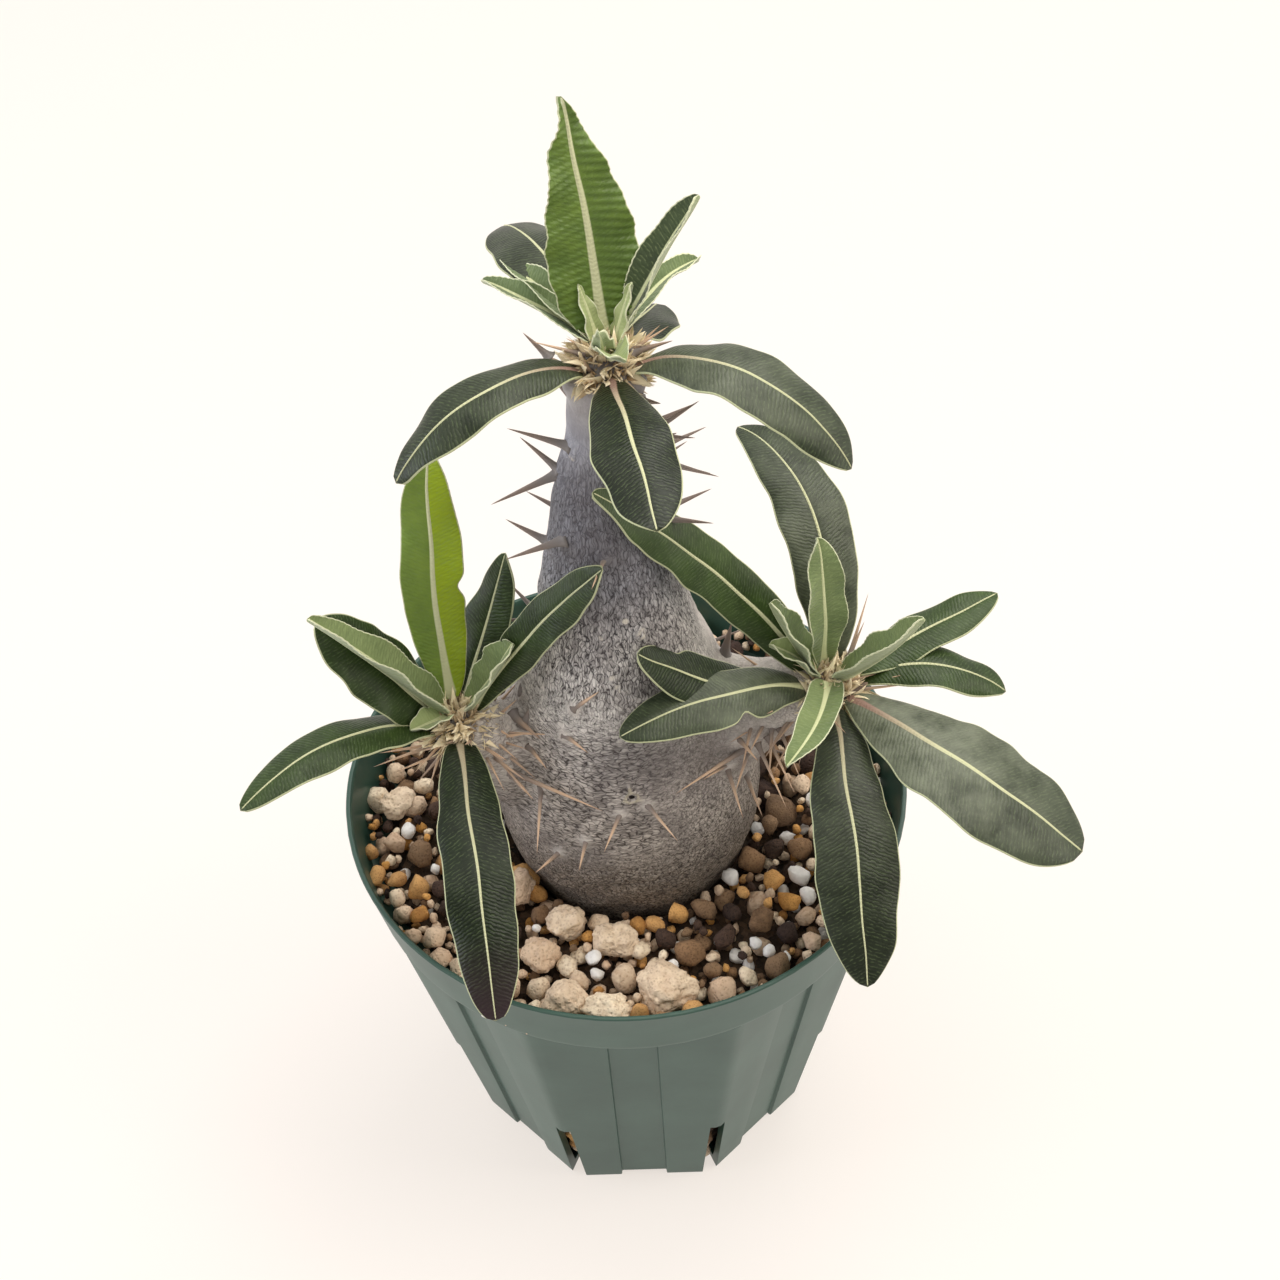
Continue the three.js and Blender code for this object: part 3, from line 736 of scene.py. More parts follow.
# %% Stones behind the slits
SLIT_STONES = 7
for k in range(FACETS):
    corner = POT_TURN + (k + 0.5) * 360 / FACETS
    for i in range(SLIT_STONES):
        z = 4.5 + i * 4
        radius = pick.uniform(2.1, 2.9)
        spot = direction(corner, 0) * (pot_radius(z) - inset - radius - 0.4)
        spot += direction(corner + 90, 0) * pick.uniform(-1, 1)
        placed.append((spot.x, spot.y, z, radius, kind_at(spot)))
print(len(placed), "stones in all")

# %% [markdown]
# Geometry Nodes copy the stone shapes onto these places. The tree takes points that carry a size, chooses
# a shape, turns it at random and squashes it a little, and gives each copy a tint. Copies are only links to
# one shape until the tree realizes them, which makes the heap a plain mesh at the end. The spines and the
# tufts are grown in the same way later, so the start and the end of a tree are functions.

# %% The tree that lays stones
ANY_TURN = 6.28


def new_tree(name, result, inputs):
    """A tree with named inputs, each of a kind and with a usual value. Returns it and its inputs."""
    tree = bpy.data.node_groups.new(name, "GeometryNodeTree")
    for label, (kind, value) in inputs.items():
        socket = tree.interface.new_socket(label, in_out="INPUT", socket_type="NodeSocket" + kind)
        if value is not None:
            socket.default_value = value
    tree.interface.new_socket(result, in_out="OUTPUT", socket_type="NodeSocketGeometry")
    return tree, add(tree, "NodeGroupInput").outputs


def place_copies(tree, given, points, rotation, scale, tinted=True):
    """The end of a tree: a shape on each point, with a tint of its own, made real and of one material."""
    shapes = {"Collection": given["Shapes"], "Separate Children": True}
    shapes = add(tree, "GeometryNodeCollectionInfo", shapes)
    choice = add(tree, "FunctionNodeRandomValue", {4: 0, 5: 50, "Seed": given["Seed"]}, data_type="INT")
    stood = {"Points": points, "Instance": shapes, "Pick Instance": True}
    stood.update({"Instance Index": choice.outputs[2], "Rotation": rotation, "Scale": scale})
    copies = add(tree, "GeometryNodeInstanceOnPoints", stood)
    if tinted:
        tints = {2: 0, 3: 1, "Seed": given["Seed"]}
        tints = add(tree, "FunctionNodeRandomValue", tints, data_type="FLOAT").outputs[1]
        named = {"Geometry": copies, "Name": "tint", "Value": tints}
        copies = add(tree, "GeometryNodeStoreNamedAttribute", named, data_type="FLOAT", domain="INSTANCE")
    real = add(tree, "GeometryNodeRealizeInstances", {"Geometry": copies})
    finished = add(tree, "GeometryNodeSetMaterial", {"Geometry": real, "Material": given["Material"]})
    add(tree, "NodeGroupOutput", {0: finished})


lay_stones, given = new_tree("lay_stones", "Stones", {
    "Points": ("Geometry", None), "Shapes": ("Collection", None), "Seed": ("Int", 1),
    "Flattest": ("Float", 0.72), "Material": ("Material", None),
})
size = add(lay_stones, "GeometryNodeInputNamedAttribute", {"Name": "size"}, data_type="FLOAT")
tilt = {0: (0, 0, 0), 1: (ANY_TURN, ANY_TURN, ANY_TURN), "Seed": given["Seed"]}
tilt = add(lay_stones, "FunctionNodeRandomValue", tilt, data_type="FLOAT_VECTOR")
flattest = {"X": 1, "Y": given["Flattest"], "Z": given["Flattest"]}
flattest = add(lay_stones, "ShaderNodeCombineXYZ", flattest)
squash = {0: flattest, 1: (1.12, 1, 1), "Seed": given["Seed"]}
squash = add(lay_stones, "FunctionNodeRandomValue", squash, data_type="FLOAT_VECTOR")
scaled = {0: squash, "Scale": size.outputs["Attribute"]}
scale = add(lay_stones, "ShaderNodeVectorMath", scaled, operation="SCALE")
place_copies(lay_stones, given, given["Points"], tilt, scale)


def run_tree(base, tree, inputs, name):
    """Sets a tree's inputs by their identifiers and runs it. Returns a plain mesh object."""
    modifier = base.modifiers.new(tree.name, "NODES")
    modifier.node_group = tree
    for item in tree.interface.items_tree:
        if item.in_out == "INPUT" and item.name in inputs:
            modifier[item.identifier] = inputs[item.name]
    made = plain_mesh(base, name)
    print(name, "has", len(made.data.polygons), "faces")
    return made


def grow(name, points, tree, inputs, slot, **attributes):
    """Runs a tree on points in millimetres that carry attributes, and keeps the result."""
    seeds = mesh_object(name + "_points", points, [])
    for attribute, values in attributes.items():
        if np.ndim(values) == 1:
            paint(seeds, attribute, values)
            continue
        vectors = seeds.data.attributes.new(attribute, "FLOAT_VECTOR", "POINT")
        vectors.data.foreach_set("vector", np.asarray(values, dtype=np.float32).ravel())
    return keep(run_tree(seeds, tree, inputs, name), slot, None)


for seed, (kind, (material, shapes)) in enumerate(STONE_KINDS.items(), start=3):
    some = [p for p in placed if p[4] == kind]
    inputs = {"Shapes": shapes, "Seed": seed, "Material": material}
    sizes = [2 * p[3] * MM for p in some]
    grow(f"{kind}_gravel", [p[:3] for p in some], lay_stones, inputs, "potting_mix", size=sizes)

# %% [markdown]
# The eight largest pumice stones lie on top, and are pieces of their own. They are seen closely, so each
# has a finer shape. More planes cut them, because a large lump breaks into more faces.

# %% The large pumice stones
for number, ((x, y), size, spin) in enumerate(LARGE_STONES, start=1):
    mesh = stone_mesh(f"large_pumice_{number}", 70 + number, 5, 12, 0.16, 14)
    large = bpy.data.objects.new(f"large_pumice_{number}", mesh)
    scene.collection.objects.link(large)
    shape_size = Vector(size) * 1.12 * MM
    mesh.transform(Matrix.Diagonal((*shape_size, 1)))
    mesh.transform(Matrix.Rotation(math.radians(spin), 4, "Z"))
    mesh.transform(Matrix.Translation(Vector((x, y, STONE_LEVEL)) * MM))
    paint(large, "tint", [0.35 + 0.5 * pick.random()] * len(mesh.vertices))
    keep(large, "pumice", STONE_KINDS["pumice"][0], f"pumice_stone_{number}")
print("large stones:", len(LARGE_STONES))

# %% [markdown]
# ## The caudex
# The swollen stem stores water. Its outline is read from the picture at even heights, and the two branches
# are short cones that leave its shoulder. Under the top head, a small foot runs out to each large leaf. Each
# of these is a loft of rings. Joined lofts would meet in a hard crease, so a voxel remesh makes one skin of
# them, and the skin is then relaxed only round the two shoulders, where the real bark runs smoothly from
# stem to branch.

# %% Lofts of stem and branches
STEM = [
    (78, 21, 0.3), (82, 23.5, 0.5), (90, 25.8, 0.8), (98, 27.6, 0.8), (106, 28, 0.6), (114, 27.2, 0.5),
    (122, 25.4, 0.4), (130, 23, 0.3), (138, 20.5, 0.2), (146, 18, 0.1), (154, 15.8, 0), (162, 13.7, -0.3),
    (170, 12.2, -0.9), (178, 11, -0.9), (186, 9.8, -0.6), (194, 8.4, -0.4), (202, 6.7, -0.2), (208, 6.1, 0),
    (213, 6.8, 0.6), (217, 6.6, 1.2), (220, 4.4, 1.5),
]
TOP_HEAD = (1.5, 0, 222)
LEFT_HEAD = (-33, -10, 138)
RIGHT_HEAD = (42, -8, 139)
LEFT_BRANCH = [
    ((-12, -3, 112), 15), ((-21, -6, 121), 11.5), ((-28, -8.5, 129), 8.2), ((-32, -9.7, 135), 6.8),
    ((-33, -10, 137.5), 4),
]
RIGHT_BRANCH = [
    ((10, -2, 121), 17), ((20, -4, 126), 13.5), ((30, -6, 131.5), 8.8), ((37.5, -7.2, 135), 7.2),
    ((41, -7.8, 137.5), 4.2),
]
LEAF_FEET = (-62, 4, 60, 178, -157)
FOOT_RINGS = [(1, 208, 4), (4.5, 214.5, 2.9), (7.6, 219.5, 1.6)]
FOOT_BASE = Vector((1, 0, 0))


def curve_through(stations, steps):
    """A smooth Catmull-Rom curve through stations, each a list of numbers."""
    values = np.array(stations, float)
    padded = np.vstack([2 * values[0] - values[1], values, 2 * values[-1] - values[-2]])
    found = []
    for i in range(len(values) - 1):
        a, b, c, d = padded[i : i + 4]
        bend, twist = 2 * a - 5 * b + 4 * c - d, 3 * (b - c) + d - a
        for t in np.arange(steps) / steps:
            found.append(b + 0.5 * t * (c - a + t * (bend + t * twist)))
    return found + [values[-1]]


def ring(center, across, up, radius, sides):
    """Points of a circle in the plane of two directions."""
    turns = [2 * math.pi * k / sides for k in range(sides)]
    return [center + across * (radius * math.cos(t)) + up * (radius * math.sin(t)) for t in turns]


def loft_branch(stations, head):
    """A branch: rings square to its axis, closed at both ends."""
    line = curve_through([[*at, radius] for at, radius in stations], 4)
    rings = []
    for i, (x, y, z, radius) in enumerate(line):
        before, after = line[max(i - 1, 0)], line[min(i + 1, len(line) - 1)]
        along = Vector(after[:3] - before[:3]).normalized()
        across = Vector((0, 0, 1)).cross(along).normalized()
        rings.append(ring(Vector((x, y, z)), across, along.cross(across), radius, 40))
    return skin(rings, Vector(stations[0][0]) - Vector((0, 0, 3)), Vector(head))


rings = [
    ring(Vector((lean, 0, z)), Vector((1, 0, 0)), Vector((0, 1, 0)), radius, 72)
    for z, radius, lean in curve_through(STEM, 4)
]
lofts = [skin(rings, Vector((0, 0, 77)), Vector(TOP_HEAD))]
lofts += [loft_branch(LEFT_BRANCH, LEFT_HEAD), loft_branch(RIGHT_BRANCH, RIGHT_HEAD)]
for heading in LEAF_FEET:
    out = direction(heading, 0)
    foot = [(FOOT_BASE + out * far + Vector((0, 0, z)), radius) for far, z, radius in FOOT_RINGS]
    lofts.append(loft_branch(foot, FOOT_BASE + out * 8.6 + Vector((0, 0, 221))))
points, faces = [], []
for some_points, some_faces in lofts:
    faces += [tuple(len(points) + corner for corner in face) for face in some_faces]
    points += some_points
bark = mesh_object("caudex", points, faces)
turn_outwards(bark)
print("lofts:", len(points), "points")

# %% One smooth skin
VOXEL = 1.08
SHOULDERS = [((-20, -6, 120), 15), ((18, -4, 124), 17)]

remesh = bark.modifiers.new("one_skin", "REMESH")
remesh.mode = "VOXEL"
remesh.voxel_size = VOXEL * MM
bark = plain_mesh(bark, "caudex")
near = bark.vertex_groups.new(name="shoulders")
for vert in bark.data.vertices:
    weight = max(1 - (vert.co / MM - Vector(at)).length / reach for at, reach in SHOULDERS)
    if weight > 0:
        near.add([vert.index], min(1, 2 * weight), "REPLACE")
for name, group, rounds in (("relax_all", "", 4), ("relax_shoulders", "shoulders", 40)):
    relax = bark.modifiers.new(name, "SMOOTH")
    relax.iterations = rounds
    relax.vertex_group = group
fine = bark.modifiers.new("fine", "SUBSURF")
fine.levels = fine.render_levels = 1
bark = plain_mesh(bark, "caudex")
print("bark:", len(bark.data.polygons), "faces")

# %% [markdown]
# ## Where the spines stand
# Spines grow in pairs, one pair at the foot of each old leaf, in a spiral round the stem. At the back and
# on the neck each pair is given by height, heading, rise, half the angle between its spines, and length. On
# the front, each spine is placed by two pixels, its foot and its tip. The foot's ray is cast onto the bark,
# so that it really stands there, and the tip is the point on its own ray that is nearest to straight out
# from the bark. The long straws round the heads are placed the same way, and more are added at random.

# %% Spines
SPINE_PAIRS = [
    (201, -165, 20, 25, 11), (203, 85, 15, 20, 12),
    (196, 90, 5, 25, 13), (181, 88, 10, 20, 11), (199, 178, 20, 35, 11), (184, 150, 15, 35, 12),
    (172, -150, 20, 35, 10), (158, 135, 25, 30, 10), (150, -105, 25, 30, 9), (138, 178, 30, 40, 11),
    (122, 140, 10, 35, 10), (118, -140, 10, 35, 10), (110, 172, 5, 35, 9), (109, 95, 5, 30, 8),
]
SPINES_SEEN = [
    ((575, 708), (598, 692), 1), ((566, 736), (587, 752), 1), ((524, 725), (549, 669), 1.5),
    ((522, 690), (559, 696), 1.4), ((514, 716), (538, 738), 1.6), ((511, 772), (596, 808), 1.1),
    ((541, 788), (537, 850), 0.9), ((560, 852), (536, 872), 1), ((586, 841), (579, 870), 0.9),
    ((620, 814), (605, 850), 0.9), ((648, 806), (676, 839), 0.9), ((746, 748), (681, 790), 1.1),
    ((728, 764), (704, 779), 0.9), ((727, 767), (742, 815), 1), ((745, 772), (761, 814), 1),
    ((530, 748), (546, 768), 1), ((512, 776), (532, 798), 1), ((738, 738), (757, 760), 1.1),
    ((604, 560), (592, 588), 0.8), ((748, 752), (736, 790), 0.9),
]
NECK_SPINES_SEEN = [
    ((569, 446), (507, 428), 1.55), ((557, 470), (520, 436), 1.5), ((556, 474), (491, 504), 1.6),
    ((547, 541), (505, 519), 1.5), ((564, 540), (505, 559), 1.6),
]
HEAD_SPINES_SEEN = {
    "top": [
        ((548, 356), (523, 333), 0.1), ((582, 354), (533, 342), 0.8), ((628, 352), (668, 327), 0.9),
        ((634, 352), (672, 340), 0.3), ((644, 401), (661, 403), 0.1), ((650, 432), (698, 402), 0.1),
        ((655, 440), (677, 432), 0.1), ((664, 462), (717, 477), 0.1), ((590, 350), (566, 338), 0.9),
    ],
    "left": [
        ((442, 722), (378, 739), 0.8), ((444, 730), (384, 745), 0.9), ((449, 735), (415, 772), 0.8),
        ((440, 742), (376, 766), 0.9), ((444, 752), (396, 772), 0.9), ((448, 742), (441, 800), 0.9),
        ((444, 740), (430, 786), 0.7), ((456, 740), (447, 778), 0.8), ((484, 742), (530, 797), 0.6),
        ((488, 735), (518, 760), 0.7), ((480, 745), (504, 790), 0.7), ((436, 708), (404, 690), 0.6),
        ((434, 700), (402, 652), 0.7), ((490, 725), (514, 738), 0.8), ((468, 745), (490, 775), 0.8),
    ],
    "right": [
        ((752, 722), (743, 765), 0.8), ((765, 722), (750, 752), 0.8), ((758, 745), (786, 806), 0.9),
        ((768, 738), (794, 792), 0.9), ((797, 708), (765, 757), 0.4), ((800, 712), (776, 742), 0.6),
        ((852, 690), (910, 684), 0.9), ((856, 686), (900, 676), 0.8), ((848, 660), (868, 596), 0.8),
        ((850, 655), (864, 622), 0.6), ((846, 692), (884, 702), 0.8), ((790, 700), (748, 706), 0.5),
        ((780, 730), (800, 778), 0.9), ((772, 726), (770, 775), 0.8),
    ],
}
tree_of_bark = BVHTree.FromObject(bark, bpy.context.evaluated_depsgraph_get())
spines = []


def stem_foot(z, heading):
    """The point and the normal of the bark at a height and a heading."""
    out = direction(heading, 0)
    start = Vector((0, 0, z)) + out * 80
    hit, normal, _, _ = tree_of_bark.ray_cast(start * MM, -out)
    return hit / MM, normal


def on_bark(across, down):
    """The point and the normal of the bark that the picture shows at a pixel, or None beside it."""
    ray = (seen_at(across, down, 0) - CAMERA_AT).normalized()
    hit, normal, _, _ = tree_of_bark.ray_cast(CAMERA_AT * MM, ray)
    return (hit / MM, normal) if hit else None


def seen_near(across, down, point):
    """The point on a pixel's ray that is nearest to a point."""
    ray = (seen_at(across, down, 0) - CAMERA_AT).normalized()
    return CAMERA_AT + ray * (point - CAMERA_AT).dot(ray)


def add_spine(foot, aim, length, thick, warm):
    """Notes a spine, with its foot sunk a little. Warm ones are tan at the tip."""
    spines.append((foot - aim * 0.4, aim, length, thick, warm))


for z, heading, rise, part, length in SPINE_PAIRS:
    for side in (-1, 1):
        foot, _ = stem_foot(z, heading + side * 5)
        thick = 1.5 if z > 165 else 1.1
        add_spine(foot, direction(heading + side * part, rise), length * 1.05, thick, 0.05)
STAND_OUT = 6
for low, high, thick in SPINES_SEEN:
    foot, normal = on_bark(*low)
    out = seen_near(*high, foot + normal * STAND_OUT) - foot
    add_spine(foot, out.normalized(), 1.12 * out.length, thick, 0.8 if thick < 1.3 else 0.4)
for (across, down), high, thick in NECK_SPINES_SEEN:
    while not on_bark(across, down):
        across += 2
    foot, normal = on_bark(across, down)
    out = seen_near(*high, foot) - foot
    add_spine(foot, out.normalized(), 1.04 * out.length, thick, 0.1)
THORN_AT = (724, 655)
foot, normal = on_bark(*THORN_AT)
add_spine(foot, (normal + Vector((0, 0, 1.6))).normalized(), 9, 2.1, 0.05)

HEADS = {
    "top": {"at": TOP_HEAD, "neck": (1, 0, 217), "radius": 6, "count": 16, "tilt": (0, 45)},
    "left": {"at": LEFT_HEAD, "neck": (-30.5, -9.3, 132), "radius": 6.6, "count": 46, "tilt": (-60, 35)},
    "right": {"at": RIGHT_HEAD, "neck": (38, -7.3, 134), "radius": 6.6, "count": 46, "tilt": (-65, 35)},
}
pick = random.Random(11)
for name, some in HEAD_SPINES_SEEN.items():
    for low, high, warm in some:
        foot = seen_near(*low, Vector(HEADS[name]["neck"]) + direction(0, 30) * 4)
        out = seen_near(*high, foot + direction(0, 40) * 2) - foot
        add_spine(foot, out.normalized(), 1.08 * out.length, 0.85 if warm > 0.5 else 1.3, warm)
for head in HEADS.values():
    for k in range(head["count"]):
        heading = k * 137.5 + pick.uniform(-12, 12)
        rise = pick.uniform(*head["tilt"])
        foot = Vector(head["neck"]) + direction(heading, rise) * (head["radius"] - 0.8)
        aim = direction(heading + pick.uniform(-18, 18), rise + pick.uniform(-10, 18))
        long = pick.uniform(5, 9) if head["count"] < 20 else pick.uniform(7, 14)
        add_spine(foot, aim, long, pick.uniform(0.75, 1.05), pick.uniform(0.4, 1))
print(len(spines), "spines")

# %% [markdown]
# ## Sculpting the bark
# The finer shape of the bark is laid on as small moves of each point along its normal. Every spine stands
# on a raised pad. A healed bud scar sits low on the front, like a crater, and pale corky warts lie above it.
# Soft lumps and shallow wrinkles break up the round. The same sums are kept as attributes, and the bark's
# material reads them, so that colour and shape agree. Two more mark where the bark is young and `calm`, as
# round the branches and under the top head, and where it is `dim`, below the leaves that shade it. The
# material darkens the dim places, which is painted shade.

# %% Pads, scar, warts and wrinkles
SCAR_AT = (632, 797)
SCAR_RING = 1.1
WARTS_AT = [
    ((640, 634), 1.7, 1.1), ((616, 685), 1.0, 0.3), ((613, 678), 0.9, 0.3), ((622, 690), 0.8, 0.25),
    ((557, 453), 1.2, 0.5), ((574, 457), 0.8, 0.3), ((625, 622), 1.0, 0.4), ((600, 640), 0.8, 0.3),
]
CALM_AT = [((27, -5, 131), 14), ((-29, -9, 129), 9), ((14, 4, 146), 9)]
SHADED_AT = [((650, 755), 14), ((655, 690), 9), ((715, 748), 8), ((600, 550), 9), ((585, 500), 6)]


def of_points(mesh, name):
    """A vector for each point of a mesh, as an array of rows."""
    values = np.empty(len(mesh.vertices) * 3)
    mesh.vertices.foreach_get(name, values)
    return values.reshape(-1, 3)


coords = of_points(bark.data, "co") / MM
normals = of_points(bark.data, "normal")
count = len(coords)


def away(point):
    """How far each point of the bark is from a place."""
    return np.linalg.norm(coords - np.array(point), axis=1)


def mound(point, radius):
    """A soft round rise about a place, 1 at its middle."""
    return np.exp(-((away(point) / radius) ** 2))


def field(size, stretch=(1, 1, 1), shift=0):
    """A smooth noise over the bark, with features of a size in millimetres."""
    scaled = coords / (size * np.array(stretch)) + shift
    return np.array([noise.noise(Vector(p)) for p in scaled])


pads = np.zeros(count)
for foot, aim, length, thick, warm in spines:
    pads = np.maximum(pads, mound(foot, 0.7 + 0.75 * thick))
scar_foot, _ = on_bark(*SCAR_AT)
scar = away(scar_foot) * (1 + 0.5 * field(1.4, shift=11))
crater = np.exp(-(((scar - SCAR_RING) / 0.55) ** 2)) - 1.4 * np.exp(-((scar / 0.6) ** 2))
warts = np.zeros(count)
rise = np.zeros(count)
for pixel, radius, height in WARTS_AT:
    found = on_bark(*pixel)
    if not found:
        print("no bark under the wart at", pixel)
        continue
    wart = mound(found[0], radius)
    warts = np.maximum(warts, wart)
    rise += height * wart
calm = np.clip((coords[:, 2] - 196) / 12, 0, 1)
for place, reach in CALM_AT:
    calm = np.maximum(calm, mound(place, reach))
height_share = np.clip((coords[:, 2] - 130) / 30, 0, 1)
lumps = 0.55 * field(13) + 0.3 * field(5, shift=7)
flat_wrinkles = field(2.2, (1.5, 1.5, 0.7), 3)
tall_wrinkles = field(1.9, (0.8, 0.8, 4), 5)
wrinkles = 0.16 * (flat_wrinkles * (1 - height_share) + tall_wrinkles * height_share)
moved = lumps + wrinkles + 0.6 * pads + 0.5 * crater + rise * (1 + 0.5 * field(0.9))
fixed = np.clip((coords[:, 2] - 79) / 4, 0, 1)
coords += normals * (moved * fixed)[:, None]
bark.data.vertices.foreach_set("co", (coords * MM).ravel())
bark.data.update()
# Painted shade: `dim` marks the bark below the leaves, for the material to darken.
dim = np.zeros(count)
for pixel, reach in SHADED_AT:
    dim = np.maximum(dim, mound(on_bark(*pixel)[0], reach))
paint(bark, "calm", np.maximum(calm, 0.8 * pads))
paint(bark, "pad", pads)
paint(bark, "dim", dim)
paint(bark, "wart", warts * np.clip(0.6 + field(1.1, shift=2), 0, 1))
paint(bark, "scar", np.clip(crater, -1, 1))
print("bark moved by", round(float(moved.min()), 2), "to", round(float(moved.max()), 2), "mm")

# %% [markdown]
# The bark is a thin skin that keeps stretching as the stem swells. It tears into fine pale strokes, about
# 0.6 mm apart, with dark furrows between them, like the print of a finger. On the neck the strokes stand
# upright, round the middle of the bulb they lie flat, and low down they run every way and are browner. Three
# noises with different stretch are blended by height, because one pattern can't change its direction. Pale
# and dark colours come from two ramps over the height, so that they can be read off the picture one by one.

# %% Silvery bark
silver_bark, tree, shader = new_material("silvery_bark", Roughness=0.68)
place = object_coordinates(tree)
axes = add(tree, "ShaderNodeSeparateXYZ", {0: place}).outputs
LOWEST = 75
HIGHEST = 225


def colors_by_height(stops):
    """A colour for each height on the stem, given as pairs of height and hex value."""
    share = add(tree, "ShaderNodeMapRange", {"Value": axes["Z"], "From Min": LOWEST, "From Max": HIGHEST})
    places = [((height - LOWEST) / (HIGHEST - LOWEST), code) for height, code in stops]
    return fill_ramp(add(tree, "ShaderNodeValToRGB", {"Fac": share}), places)


warp = add(tree, "ShaderNodeTexNoise", {"Vector": place, "Scale": 1 / 2.4, "Detail": 2}).outputs["Color"]
warp = add(tree, "ShaderNodeVectorMath", {0: warp, "Scale": 1.8}, operation="SCALE")
warped = add(tree, "ShaderNodeVectorMath", {0: place, 1: warp}, operation="ADD")


def bark_strokes(stretch, width):
    """Short strokes of bark, drawn out by a stretch: 0 in the furrows and 1 on the strokes."""
    drawn = add(tree, "ShaderNodeVectorMath", {0: warped, 1: stretch}, operation="MULTIPLY")
    cells = {"Vector": drawn, "Scale": 1 / width}
    furrows = add(tree, "ShaderNodeTexVoronoi", cells, feature="DISTANCE_TO_EDGE")
    flecks = add(tree, "ShaderNodeTexNoise", {**cells, "Detail": 1})
    furrows = lay_over(0, 0.58, furrows, 0.02, 0.15, kind="FLOAT")
    flecks = lay_over(0, 0.42, flecks, 0.43, 0.57, kind="FLOAT")
    return add(tree, "ShaderNodeMath", {0: furrows, 1: flecks}, operation="ADD")


upright = bark_strokes((1, 1, 0.22), 0.62)
level = bark_strokes((0.34, 0.34, 1), 0.6)
dotted = bark_strokes((0.75, 0.75, 0.85), 0.64)
calm, dim, pad, wart, scar_value = [
    add(tree, "ShaderNodeAttribute", attribute_name=name).outputs["Fac"]
    for name in ("calm", "dim", "pad", "wart", "scar")
]
middle_band = lay_over(level, dotted, axes["X"], 2, 16, kind="FLOAT")
strokes = lay_over(dotted, middle_band, axes["Z"], 102, 116, kind="FLOAT")
strokes = lay_over(strokes, upright, axes["Z"], 134, 150, kind="FLOAT")
strokes = lay_over(strokes, 0.72, calm, most=0.82, soft=False, kind="FLOAT")
pale = colors_by_height([
    (80, "#8B8074"), (98, "#A5998D"), (112, "#C0B6AD"), (128, "#CEC6BF"), (145, "#F6F1EB"),
    (158, "#D4CFCC"), (172, "#96969D"), (190, "#8E8F97"), (205, "#ABABB3"), (214, "#B4B0B0"),
])
dark = colors_by_height([
    (80, "#28211B"), (98, "#352E28"), (112, "#3E3732"), (128, "#383330"), (145, "#2D2927"),
    (158, "#2C2A2D"), (172, "#2F2F35"), (190, "#4A4B54"), (205, "#787983"), (214, "#767274"),
])
patches = {"Vector": place, "Scale": 1 / 8, "Detail": 4, "Roughness": 0.6}
patches = add(tree, "ShaderNodeTexNoise", patches)
low_calm = lay_over(0, calm, axes["Z"], 185, 165, kind="FLOAT")
low_pad = lay_over(0, pad, axes["Z"], 170, 150, kind="FLOAT")
color = lay_over(dark, pale, strokes, soft=False)
color = lay_over(color, "#4A4343", patches, 0.62, 0.38, 0.35)
# Painted shade: the bark below the leaves is darkened.
color = lay_over(color, "#453D40", dim, most=0.5, soft=False)
color = lay_over(color, "#D0C6BE", low_calm, most=0.55, soft=False)
color = lay_over(color, "#D8D2CC", low_pad, most=0.5, soft=False)
color = lay_over(color, "#C9C2B8", wart, 0.25, 0.6)
color = lay_over(color, "#B5AC96", scar_value, 0.3, 0.8, 0.7)
color = lay_over(color, "#2A2320", scar_value, -0.2, -0.6)
fine_grain = add(tree, "ShaderNodeTexNoise", {"Vector": place, "Scale": 1 / 0.4, "Detail": 3})
relief = add(tree, "ShaderNodeMath", {0: fine_grain, 1: 0.3, 2: strokes}, operation="MULTIPLY_ADD")
end_material(shader, color, relief, 0.9, 0.24)
keep(bark, "bark", silver_bark, "caudex")
print("bark material has", len(tree.nodes), "nodes")

# %% [markdown]
# ## Growing the spines
# A spine is a hardened stipule: a slender horn cone on a swollen foot, a little bent. Three shapes with
# different bends are enough. The tree below stands one on each point, turns its tip to the `aim` attribute,
# spins it at random about its own axis so that the bends differ, and stretches it to its length. The horn is
# grey at the foot and dries to tan towards the tip.

# %% Spines by Geometry Nodes
SPINE_OUTLINE = [
    (0, 1.4), (0.05, 1.05), (0.12, 0.78), (0.22, 0.6),
    (0.4, 0.46), (0.6, 0.33), (0.8, 0.19), (0.94, 0.08),
]
SPINE_SIDES = 8


def spine_mesh(name, bend):
    """A spine of unit length and unit foot radius along +Z, with its share of length as an attribute."""
    rings = []
    shares = [0]
    for share, radius in SPINE_OUTLINE:
        center = Vector((bend * share * share, 0, share))
        rings.append(ring(center, Vector((1, 0, 0)), Vector((0, 1, 0)), radius, SPINE_SIDES))
        shares += [share] * SPINE_SIDES
    points, faces = skin(rings, Vector((0, 0, 0)), Vector((bend, 0, 1)))
    made = mesh_object(name, [Vector(p) / MM for p in points], faces)
    turn_outwards(made)
    paint(made, "share", shares + [1])
    mesh = made.data
    bpy.data.objects.remove(made)
    return mesh


spine_shapes = bpy.data.collections.new("spine_shapes")
for i, bend in enumerate((0.02, 0.09, 0.16)):
    spine_shapes.objects.link(bpy.data.objects.new(f"spine_{i}", spine_mesh(f"spine_{i}", bend)))

